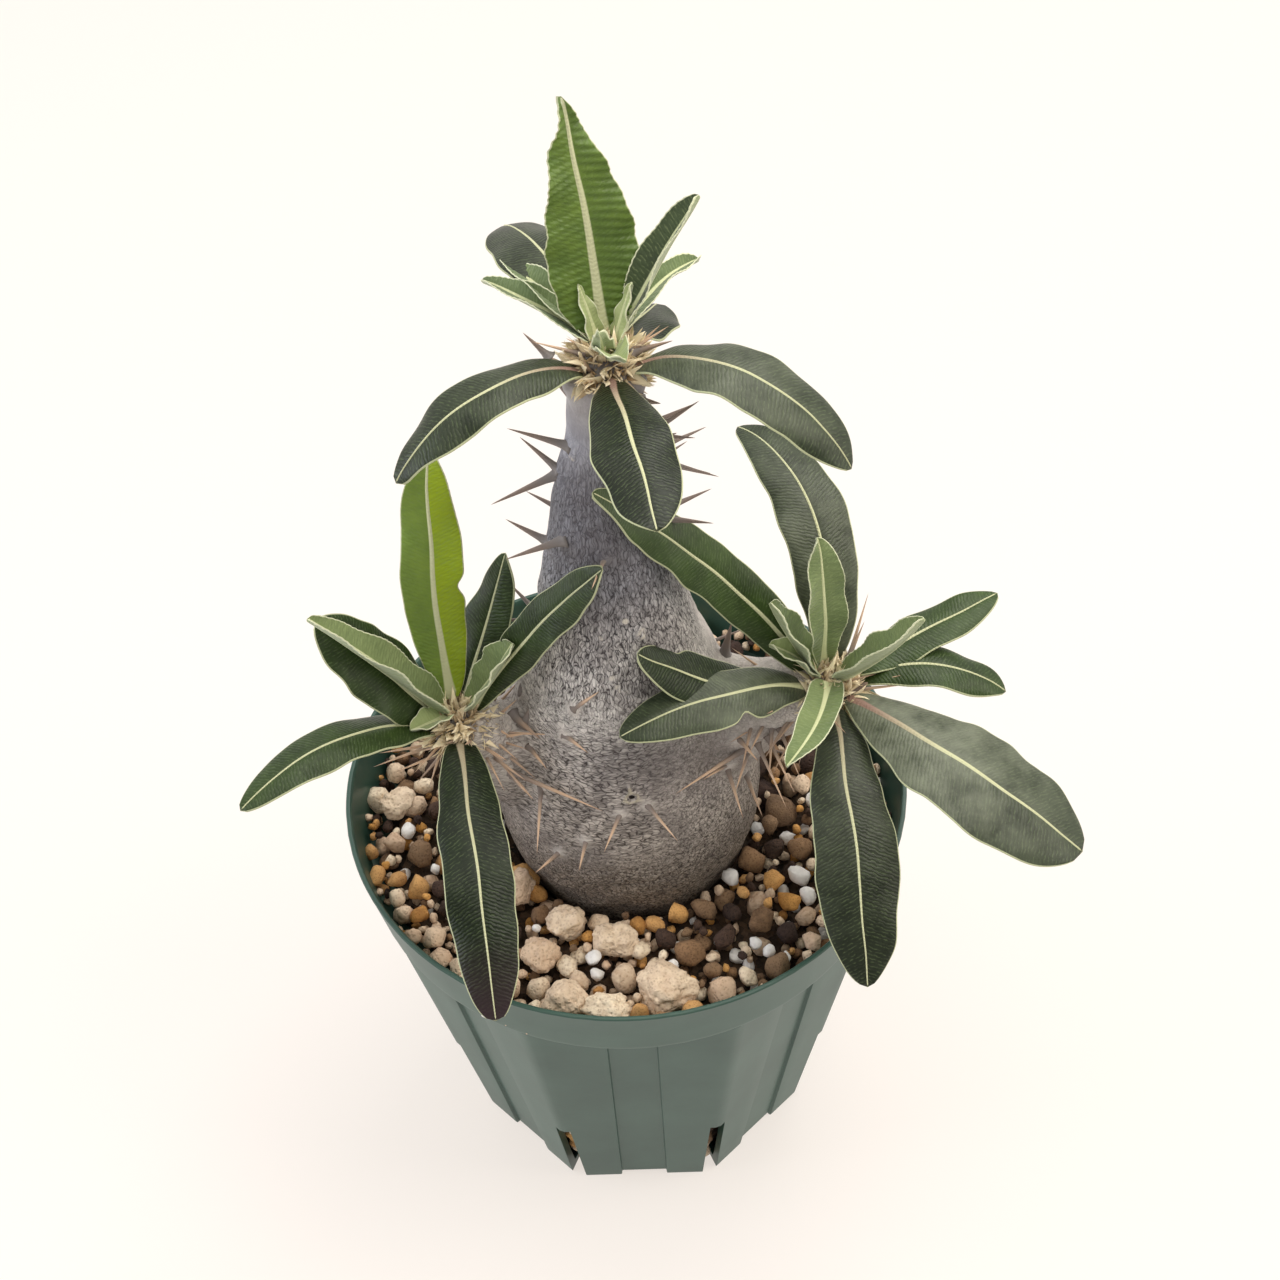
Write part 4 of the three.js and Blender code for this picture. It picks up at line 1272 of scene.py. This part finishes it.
grow_spines, given = new_tree("grow_spines", "Spines", {
    "Points": ("Geometry", None), "Shapes": ("Collection", None), "Seed": ("Int", 1),
    "Material": ("Material", None),
})
aim, size = [
    add(grow_spines, "GeometryNodeInputNamedAttribute", {"Name": name}, data_type="FLOAT_VECTOR").outputs[0]
    for name in ("aim", "size")
]
facing = add(grow_spines, "FunctionNodeAlignRotationToVector", {"Vector": aim}, axis="Z")
spin = {0: (0, 0, 0), 1: (0, 0, ANY_TURN), "Seed": given["Seed"]}
spin = add(grow_spines, "FunctionNodeRandomValue", spin, data_type="FLOAT_VECTOR")
spin = add(grow_spines, "FunctionNodeEulerToRotation", {0: spin})
turned = {"Rotation": facing, "Rotate By": spin}
turned = add(grow_spines, "FunctionNodeRotateRotation", turned, rotation_space="LOCAL")
place_copies(grow_spines, given, given["Points"], turned, size, tinted=False)

spine_horn, tree, shader = new_material("spine_horn", Roughness=0.5)
share, warm = [
    add(tree, "ShaderNodeAttribute", attribute_name=name).outputs["Fac"] for name in ("share", "warm")
]
tip = lay_over("#71645E", "#DDBB9C", warm, soft=False)
foot = lay_over("#75706E", "#7C7069", warm, soft=False)
color = lay_over(foot, tip, share, 0.08, 0.62)
color = lay_over(color, "#7E5F4C", share, 0.82, 1, 0.6)
tree.links.new(color, shader.inputs["Base Color"])

FOOT_RADIUS_SHARE = 0.8
sizes = []
for _, _, length, thick, _ in spines:
    foot_radius = FOOT_RADIUS_SHARE * thick
    sizes.append((foot_radius * MM, foot_radius * MM, length * MM))
feet = [foot for foot, *_ in spines]
aims = [tuple(aim) for _, aim, *_ in spines]
warms = [warm for *_, warm in spines]
inputs = {"Shapes": spine_shapes, "Seed": 4, "Material": spine_horn}
grow("spines", feet, grow_spines, inputs, "bark", aim=aims, size=sizes, warm=warms)

# %% [markdown]
# ## Tufts at the heads
# Between the leaf bases each head is packed with dry, tan scales, which are what is left of the leaves'
# stipules. They are broad at the foot, papery and pointed, and stand close together like the scales of a
# bud. A tuft like this is best scattered: the tree puts points on a small dome, stands a scale on each, and
# tips and sizes it at random.

# %% Tufts by Geometry Nodes
SCALE_SIDES = 6
SCALE_OUTLINES = {
    "broad_scale": ([(0, 0.2), (0.25, 0.24), (0.5, 0.17), (0.75, 0.08)], 0.25),
    "curled_scale": ([(0, 0.17), (0.2, 0.2), (0.45, 0.15), (0.75, 0.07)], 0.5),
    "narrow_scale": ([(0, 0.1), (0.3, 0.09), (0.6, 0.06), (0.85, 0.03)], 0.12),
}
SCALE_FLATNESS = 0.22

dry_scales = bpy.data.collections.new("dry_scales")
for name, (outline, curl) in SCALE_OUTLINES.items():
    rings = []
    for share, half in outline:
        center = Vector((0, curl * share * share, share))
        flat = Vector((0, SCALE_FLATNESS, 0))
        rings.append(ring(center, Vector((1, 0, 0)), flat, half, SCALE_SIDES))
    points, faces = skin(rings, Vector((0, 0, 0)), Vector((0, curl, 1)))
    made = mesh_object(name, [Vector(p) / MM for p in points], faces)
    turn_outwards(made)
    scene.collection.objects.unlink(made)
    dry_scales.objects.link(made)

grow_tuft, given = new_tree("grow_tuft", "Tuft", {
    "Dome": ("Geometry", None), "Shapes": ("Collection", None), "Per square metre": ("Float", 1e6),
    "Shortest": ("Float", 0.002), "Longest": ("Float", 0.005), "Tilt": ("Float", 0.6), "Seed": ("Int", 1),
    "Material": ("Material", None),
})
spread = {"Mesh": given["Dome"], "Density": given["Per square metre"], "Seed": given["Seed"]}
spots = add(grow_tuft, "GeometryNodeDistributePointsOnFaces", spread, distribute_method="RANDOM")
most = add(grow_tuft, "ShaderNodeCombineXYZ", {"X": given["Tilt"], "Y": given["Tilt"], "Z": ANY_TURN / 2})
least = add(grow_tuft, "ShaderNodeVectorMath", {0: most, "Scale": -1}, operation="SCALE")
tilt = {0: least, 1: most, "Seed": given["Seed"]}
tilt = add(grow_tuft, "FunctionNodeRandomValue", tilt, data_type="FLOAT_VECTOR")
tilt = add(grow_tuft, "FunctionNodeEulerToRotation", {0: tilt})
turned = {"Rotation": spots.outputs["Rotation"], "Rotate By": tilt}
turned = add(grow_tuft, "FunctionNodeRotateRotation", turned, rotation_space="LOCAL")
lengths = {2: given["Shortest"], 3: given["Longest"], "Seed": given["Seed"]}
length = add(grow_tuft, "FunctionNodeRandomValue", lengths, data_type="FLOAT").outputs[1]
place_copies(grow_tuft, given, spots, turned, length)

dry_stipule, tree, shader = new_material("dry_papery_stipule", Roughness=0.85)
streaks = {"Vector": object_coordinates(tree), "Scale": 1 / 0.8, "Detail": 3}
streaks = add(tree, "ShaderNodeTexNoise", streaks)
tint = add(tree, "ShaderNodeAttribute", attribute_name="tint").outputs["Fac"]
tint = add(tree, "ShaderNodeMath", {0: tint, 1: 0.7}, operation="MULTIPLY")
tint = add(tree, "ShaderNodeMath", {0: streaks, 1: 0.6, 2: tint}, operation="MULTIPLY_ADD")
tree.links.new(lay_over("#A58A68", "#EBDDBC", tint, 0.2, 0.95), shader.inputs["Base Color"])
SCALES_PER_MM2 = 1.9
DOME_SIZE = (5.6, 5.6, 4.2)
DOME_DROP = 3
for seed, (name, head) in enumerate(HEADS.items(), start=20):
    dome = bmesh.new()
    bmesh.ops.create_icosphere(dome, subdivisions=3, radius=1)
    bmesh.ops.delete(dome, geom=[v for v in dome.verts if v.co.z < -0.3], context="VERTS")
    stand = Matrix.Translation(Vector(head["at"]) - Vector((0, 0, DOME_DROP)))
    bmesh.ops.transform(dome, matrix=stand @ Matrix.Diagonal((*DOME_SIZE, 1)), verts=dome.verts)
    points = [vert.co.copy() for vert in dome.verts]
    faces = [tuple(vert.index for vert in face.verts) for face in dome.faces]
    dome.free()
    inputs = {
        "Shapes": dry_scales, "Per square metre": SCALES_PER_MM2 / MM**2, "Shortest": 2.2 * MM,
        "Longest": 5.0 * MM, "Tilt": 0.6, "Seed": seed, "Material": dry_stipule,
    }
    base = mesh_object(f"{name}_tuft_base", points, faces)
    keep(run_tree(base, grow_tuft, inputs, f"{name}_tuft"), "bark", None)

# %% [markdown]
# ## The leaves
# A leaf is a thin blade about a stiff rib. The rib's line is fixed by five numbers that the model also
# uses: heading and rise where it starts, how far it droops and sweeps by its tip, and its length. The
# blade's width follows a leaf outline, widest at its `belly`. Across the rib, the upper side has a shallow
# trough with the pale rib in it, and the margins roll down a little. The underside has the rib as a keel.
# Some leaves have wavy margins or notches, as the picture shows. The form gives what is alike in all leaves
# of one age: how far from the middle of the head they start, and how they fold.

# %% Leaf tables
OUTER = {"reach": 5, "lift": -1, "fold": -0.2}
MIDDLE = {"reach": 3.5, "lift": 1, "fold": -0.1}
INNER = {"reach": 2, "lift": 2.5, "fold": 0.1}
YOUNG = {"reach": 2.5, "lift": 2, "fold": 0.75, "young": True, "quilt": 0.07, "rib": 0.42}


def leaf(form, heading, rise, droop, sweep, length, width, belly, **more):
    """One leaf's numbers: its form, its rib, its blade, and what is its own."""
    rib = {"heading": heading, "rise": rise, "droop": droop, "sweep": sweep, "length": length}
    usual = {"taper": 0.6, "roll": 0, "tone": 0.2, "wave": 0.45, "waves": 2.3, "quilt": 0}
    usual.update(mauve=0, bronze=0, bloom=0)
    return {**usual, **form, **rib, "width": width, "belly": belly, **more}


LEAVES = {
    "top": [
        leaf(
            INNER, 186, 66, -6, 22, 44, 15.5, 0.36, taper=1, tone=0.62, quilt=0.26, wave=1.0, waves=4.5,
            rib=0.75,
        ),
        leaf(OUTER, -157, 32, 72, -1, 44, 15, 0.6, tone=0.08, bloom=0.12),
        leaf(OUTER, 178, 4, 42, -12, 40, 13, 0.6, tone=0.05),
        leaf(OUTER, 158, -20, 12, 4, 28, 13, 0.6, tone=0.1),
        leaf(YOUNG, 126, 52, -8, -26, 31, 5.6, 0.6, tone=0.1),
        leaf(YOUNG, 142, 18, 44, 2, 29, 4.6, 0.45, tone=0.35),
        leaf(YOUNG, -138, 18, 44, -20, 32, 4.4, 0.45, tone=0.4),
        leaf(YOUNG, -128, 16, 38, -16, 29, 4.8, 0.4, tone=0.4),
        leaf(OUTER, -60, 38, 96, -2, 44, 11, 0.55, tone=0.12, mauve=1, bloom=0.1),
        leaf(OUTER, 63, 41, 102, -8, 50, 13.5, 0.58, tone=0.15, mauve=1, bloom=0.25),
        leaf(OUTER, 7, 24, 40, 2, 43, 14, 0.6, tone=0, mauve=1, rib=0.4, bloom=0),
        leaf(INNER, -140, 72, 10, 0, 11, 2.4, 0.4, tone=0.9, young=True),
        leaf(INNER, 120, 74, 10, 0, 12, 2.4, 0.4, tone=0.9, young=True),
        leaf(INNER, -10, 72, 10, 0, 8, 3, 0.4, tone=1, young=True),
        leaf(YOUNG, 15, 45, 30, 20, 8, 5.5, 0.5, tone=0.8),
    ],
    "left": [
        # The left half of this leaf is given the brightest tone: painted light shining through the thin
        # blade.
        leaf(
            INNER, 194, 64, 6, -26, 52, 12, 0.55, tone=0.75, tone_left=1.0, rib=0.6, notch=(0.46, -1),
            wave=0.5, quilt=0.06,
        ),
        leaf(MIDDLE, 146, 54, -12, -14, 33, 11.5, 0.3, tone=0.25),
        leaf(MIDDLE, 94, 61, 9, -27, 52, 9, 0.6, roll=45, tone=0.25),
        leaf(YOUNG, 88, 56, -8, 5, 21, 8, 0.55, fold=0.5, tone=0.5, wave=0.5, waves=3),
        leaf(MIDDLE, -82, 60, 10, -17, 36, 14, 0.5, roll=-30, tone=0.3, wave=0.6, waves=3),
        leaf(OUTER, -61, 47, 69, 12, 48, 10.5, 0.55, tone=0.3),
        leaf(OUTER, 6, 11, 63, -2, 61, 13, 0.58, taper=0.45, tone=0.05, mauve=0.6, bronze=1, bloom=0),
        leaf(YOUNG, -40, 25, 25, -30, 9, 4.5, 0.5, tone=0.85),
        leaf(YOUNG, -78, 60, 9, -8, 40, 7, 0.45, tone=0.6),
    ],
    "right": [
        leaf(MIDDLE, -190, 84, 102, 51, 60, 13.5, 0.55, tone=0.12, bloom=0.25),
        leaf(MIDDLE, -112, 56, 4, 58, 74, 10.5, 0.5, roll=-45, tone=0.35),
        leaf(YOUNG, -95, 64, -5, 5, 23, 7.4, 0.5, fold=0.5, tone=0.5),
        leaf(YOUNG, 200, 97, 25, 9, 34, 8, 0.6, fold=0.3, tone=0.5, wave=0.6, waves=3),
        leaf(YOUNG, -83, 62, 32, -12, 14, 5.5, 0.55, fold=0.4, tone=0.7, wave=0.6, waves=2),
        leaf(OUTER, -76, 22, -28, 1, 43, 10.5, 0.6, lift=-2.5, roll=-30, tone=0.12, notch=(0.72, -1)),
        leaf(
            OUTER, -66, 35, 52, -4, 43, 12, 0.55, lift=0.5, roll=-15, tone=0.18, notch=(0.4, 1), bloom=0.25,
        ),
        leaf(YOUNG, -8, 16, 16, -32, 27, 6.5, 0.45, fold=0.4, tone=0.5),
        leaf(OUTER, 3, 1, 63, -1, 60, 16, 0.6, tone=0.02, mauve=0.6, bloom=0.1),
        leaf(OUTER, 40, 16, 50, 19, 58, 22, 0.64, taper=0.5, tone=0.15, mauve=1, rib=0.5, bloom=0.42),
        leaf(OUTER, 93, 32, 72, -22, 33, 10, 0.58, tone=0.3),
        leaf(MIDDLE, 107, 15, 16, 13, 36, 10, 0.55, tone=0.35),
        leaf(YOUNG, 52, 49, -12, 27, 29, 6.5, 0.5, tone=0.55),
    ],
}
print(sum(len(some) for some in LEAVES.values()), "leaves")

# %% [markdown]
# Each leaf is a closed skin of rings along its rib. A ring runs across the upper side from margin to margin
# and back across the underside. Its points lie closer at the rib and at the margins, where the shape turns.
# What a point is, such as rib, margin or underside, is stored on it, so the material can colour the veins
# and margins at the right places on every leaf, however it bends.

# %% One leaf blade
PETIOLE = 2.4
STEP = 0.75
FINE_STEP = 0.36
QUILT_PITCH = 1.45
NOTCH_DEPTH = 0.26
NOTCH_WIDTH = 0.04


def leaf_outline(share, belly, taper):
    """The share of a leaf's full width at a share of its length."""
    foot = taper * belly / (1 - belly)
    most = belly**foot * (1 - belly) ** taper
    return share**foot * (1 - share) ** taper / most


def blade_columns(half, rib):
    """Distances from the rib to the margin, close together at both."""
    margin = min(0.26, 0.2 * half)
    start, stop = 1.7 * rib, half - margin
    middle = [start + (stop - start) * i / 5 for i in range(1, 5)]
    return [0, 0.55 * rib, rib, start, *middle, stop, half - 0.4 * margin, half]


NERVE_SHARES = [1, 1, 0.75, 0, 0, 0, 0, 0, 0, 0, 0]
MARGIN_SHARES = [0, 0, 0, 0, 0, 0, 0, 0, 0, 0.9, 1]


def upper_side(plant, share, out, half, rib, along):
    """Height of the upper side above the rib's line, at a signed distance from the rib."""
    aside = abs(out)
    edge = aside / half
    height = plant["fold"] * half * edge**1.35
    height -= 0.32 * math.exp(-((aside / (2.4 * rib)) ** 2)) * (1 - 0.6 * share)
    if aside < rib:
        height += 0.2 * (1 - (aside / rib) ** 2)
    phase = 2 * math.pi * plant["waves"] * share + (1.3 if out > 0 else 0)
    height += plant["wave"] * edge**2 * math.sin(phase) * min(1, 3 * share)
    seed = plant["length"] + plant["heading"]
    height += 0.9 * edge**1.5 * noise.noise(Vector((along / 8, math.copysign(3, out), seed)))
    if plant["quilt"]:
        turns = (along + 0.22 * aside + 0.25 * noise.noise(Vector((out, along, 0)) / 3)) / QUILT_PITCH
        height += plant["quilt"] * math.sin(2 * math.pi * turns) * min(1, max(0, (aside - rib) / 0.8))
    roll_down = 0 if plant.get("young") else max(0, edge - 0.8) / 0.2
    return height - 0.25 * roll_down**2


def half_width(plant, share, side):
    """From the rib to the margin on one side, with the leaf's ripples and notch."""
    width = plant["width"] * leaf_outline(share, plant["belly"], plant["taper"])
    half = (PETIOLE * (1 - share) ** 2 + width) / 2
    half *= 1 + 0.025 * plant["wave"] * math.sin(2 * math.pi * plant["waves"] * 1.7 * share + side)
    half *= 1 + 0.09 * noise.noise(Vector((share * plant["length"] / 7, 3 * side, plant["heading"])))
    notch_at, notch_side = plant.get("notch", (0, 0))
    if notch_side == side:
        half *= 1 - NOTCH_DEPTH * math.exp(-(((share - notch_at) / NOTCH_WIDTH) ** 2))
    return half


def make_leaf(name, head, plant):
    """A leaf as a mesh object, with what each point is stored on it."""
    steps = max(18, round(plant["length"] / (FINE_STEP if plant["quilt"] else STEP)))
    point = head + direction(plant["heading"], 0) * plant["reach"] + Vector((0, 0, plant["lift"]))
    rings, marks = [], [(0, 0, 1, 0, 0, 0)]
    start = point.copy()
    rib_width = plant.get("rib", 0.33)
    for i in range(1, steps + 1):
        middle = (i - 0.5) / steps
        rise = plant["rise"] - plant["droop"] * middle
        heading = plant["heading"] + plant["sweep"] * middle
        along = direction(heading, rise)
        point = point + along * (plant["length"] / steps)
        if i == steps:
            break
        share = i / steps
        side = Quaternion(along, math.radians(plant["roll"])) @ direction(heading + 90, 0)
        normal = along.cross(side)
        far = share * plant["length"]
        wander = 0.5 * noise.noise(Vector((far / 13, plant["heading"], 5)))
        wander *= min(1, 8 * share * (1 - share))
        upper, lower = [], []
        for sign in (-1, 1):
            half = half_width(plant, share, sign)
            rib = rib_width * (1.05 - 0.75 * share) + 0.55 * math.exp(-share / 0.07)
            rib = min(rib, 0.42 * half)
            for k, out in enumerate(blade_columns(half, rib)):
                if sign == 1 and k == 0:
                    continue
                high = upper_side(plant, share, sign * out, half, rib, far)
                keel = max(0, 1 - (out / (1.7 * rib)) ** 2) * (0.9 - 0.65 * share)
                thick = 0.32 + 0.2 * (1 - out / half) + keel
                at = point + side * (sign * out + wander)
                mark = (sign * out, far, NERVE_SHARES[k], MARGIN_SHARES[k], share)
                upper.append((at + normal * (high + 0.2), (*mark, 0)))
                lower.append((at + normal * (high + 0.2 - thick), (*mark, 1)))
            if sign == -1:
                upper.reverse()
                lower.reverse()
        edge_left = (upper[0][0] + lower[0][0]) / 2 - side * 0.08
        edge_right = (upper[-1][0] + lower[-1][0]) / 2 + side * 0.08
        rim = [(edge_right, upper[-1][1])]
        loop = upper + rim + lower[::-1] + [(edge_left, upper[0][1])]
        rings.append([at for at, _ in loop])
        marks += [mark for _, mark in loop]
    marks.append((0, plant["length"], 0, 1, 1, 0))
    points, faces = skin(rings, start, point)
    made = mesh_object(name, points, faces)
    turn_outwards(made)
    values = np.array(marks, dtype=np.float32)
    for column, mark in enumerate(("across", "along", "nerve", "margin", "share", "under")):
        paint(made, mark, values[:, column])
    share = values[:, 4]
    # A leaf may give its left half a tone of its own, which is painted light shining through the blade.
    paint(made, "tone", np.where(values[:, 0] < 0, plant.get("tone_left", plant["tone"]), plant["tone"]))
    paint(made, "mauve", plant["mauve"] * np.clip(1.3 - share / 0.35, 0, 1))
    paint(made, "bronze", plant["bronze"] * np.clip((share - 0.72) / 0.25, 0, 1))
    # Painted sheen: pale grey, strongest near the foot.
    paint(made, "bloom", plant["bloom"] * np.clip(1.5 - 1.3 * share, 0, 1))
    return made


print("a leaf's width at half its length:", round(2 * half_width(LEAVES["top"][0], 0.5, 1), 1), "mm")

# %% [markdown]
# A mature leaf has a waxy skin, deep green, with a soft gloss. The rib and the thin hairy margin are cream.
# Fine side veins leave the rib about 0.8 mm apart and lean towards the tip. They show as broken pale hairs,
# because the net between them catches the light only here and there. Some older leaves also carry a painted
# sheen near the foot, pale grey in soft clouds, a mauve rib, or a bronze tip. Young leaves are felted: tiny
# hairs make them paler and matt. One recipe serves both, with other colours, gloss and sheen.

# %% Leaf materials
VEIN_PITCH = 0.8
VEIN_LEAN = 0.5
STORED = ("tone", "across", "along", "under", "nerve", "margin", "mauve", "bronze", "bloom")


def leaf_material(name, greens, rib_color, vein_color, margin_color, under_color, vein, **sockets):
    """A leaf skin whose green runs along a ramp by each leaf's tone."""
    material, tree, shader = new_material(name, **sockets)
    tone, across, along, under, nerve, margin, mauve, bronze, bloom = [
        add(tree, "ShaderNodeAttribute", attribute_name=mark).outputs["Fac"] for mark in STORED
    ]
    place = object_coordinates(tree)
    blotch = {"Vector": place, "Scale": 1 / 6, "Detail": 5, "Roughness": 0.65}
    blotch = add(tree, "ShaderNodeTexNoise", blotch)
    shaky = add(tree, "ShaderNodeTexNoise", {"Vector": place, "Scale": 1 / 1.3, "Detail": 3})
    broken = add(tree, "ShaderNodeTexNoise", {"Vector": place, "Scale": 1 / 0.9, "Detail": 2})
    settled = add(tree, "ShaderNodeMath", {0: tone, 1: 0.2}, operation="SUBTRACT")
    settled = add(tree, "ShaderNodeMath", {0: blotch, 1: 0.4, 2: settled}, operation="MULTIPLY_ADD")
    stops = [(i / (len(greens) - 1), code) for i, code in enumerate(greens)]
    color = fill_ramp(add(tree, "ShaderNodeValToRGB", {"Fac": settled}), stops)
    aside = add(tree, "ShaderNodeMath", {0: across}, operation="ABSOLUTE")
    slanted = add(tree, "ShaderNodeMath", {0: aside, 1: -VEIN_LEAN, 2: along}, operation="MULTIPLY_ADD")
    slanted = add(tree, "ShaderNodeMath", {0: shaky, 1: 1.1, 2: slanted}, operation="MULTIPLY_ADD")
    slanted = add(tree, "ShaderNodeMath", {0: slanted, 1: VEIN_PITCH / 2}, operation="DIVIDE")
    saw = add(tree, "ShaderNodeMath", {0: slanted, 1: 1}, operation="PINGPONG")
    line = lay_over(0, 1, saw, 0.55, 0.95, kind="FLOAT")
    line = lay_over(0, line, broken, 0.4, 0.62, kind="FLOAT")
    # Painted sheen: pale grey clouds over the leaves that have it.
    sheen_share = lay_over(0, bloom, blotch, 0.1, 0.75, kind="FLOAT")
    rib = lay_over(rib_color, "#94796E", mauve, soft=False)
    color = lay_over(color, vein_color, line, most=vein, soft=False)
    color = lay_over(color, "#33252A", bronze, most=0.85, soft=False)
    color = lay_over(color, "#A3A894", sheen_share, soft=False)
    color = lay_over(color, under_color, under, soft=False)
    color = lay_over(color, rib, nerve, 0.3, 0.85)
    color = lay_over(color, margin_color, margin, 0.45, 0.95)
    puffed = add(tree, "ShaderNodeMath", {0: shaky, 1: 0.6}, operation="MULTIPLY")
    puffed = add(tree, "ShaderNodeMath", {0: puffed, 1: saw}, operation="SUBTRACT")
    end_material(shader, color, puffed, 0.5, 0.1)
    return material


waxy_leaf = leaf_material(
    "waxy_leaf", ["#131C0C", "#202D15", "#364920", "#587030", "#748C38", "#869A16"],
    "#C3C59E", "#74865A", "#B0B590", "#6D7A5A", 0.24, Roughness=0.38, Specular_IOR_Level=0.3,
)
felted_leaf = leaf_material(
    "felted_leaf", ["#36432A", "#4A5A35", "#607246", "#7A8A58", "#94A26C", "#B0BA86"],
    "#CDD2A4", "#9AA874", "#D2D6B4", "#98A47C", 0.3,
    Roughness=0.75, Sheen_Weight=0.3, Sheen_Roughness=0.4,
)
for name, leaves in LEAVES.items():
    for place_in_head, plant in enumerate(leaves, start=1):
        made = make_leaf(f"{name}_blade_{place_in_head:02d}", Vector(HEADS[name]["at"]), plant)
        node = f"{name}_leaf_{place_in_head:02d}"
        if plant.get("young"):
            keep(made, "young_leaf", felted_leaf, node)
        else:
            keep(made, "leaf", waxy_leaf, node)
print("leaf blades made")
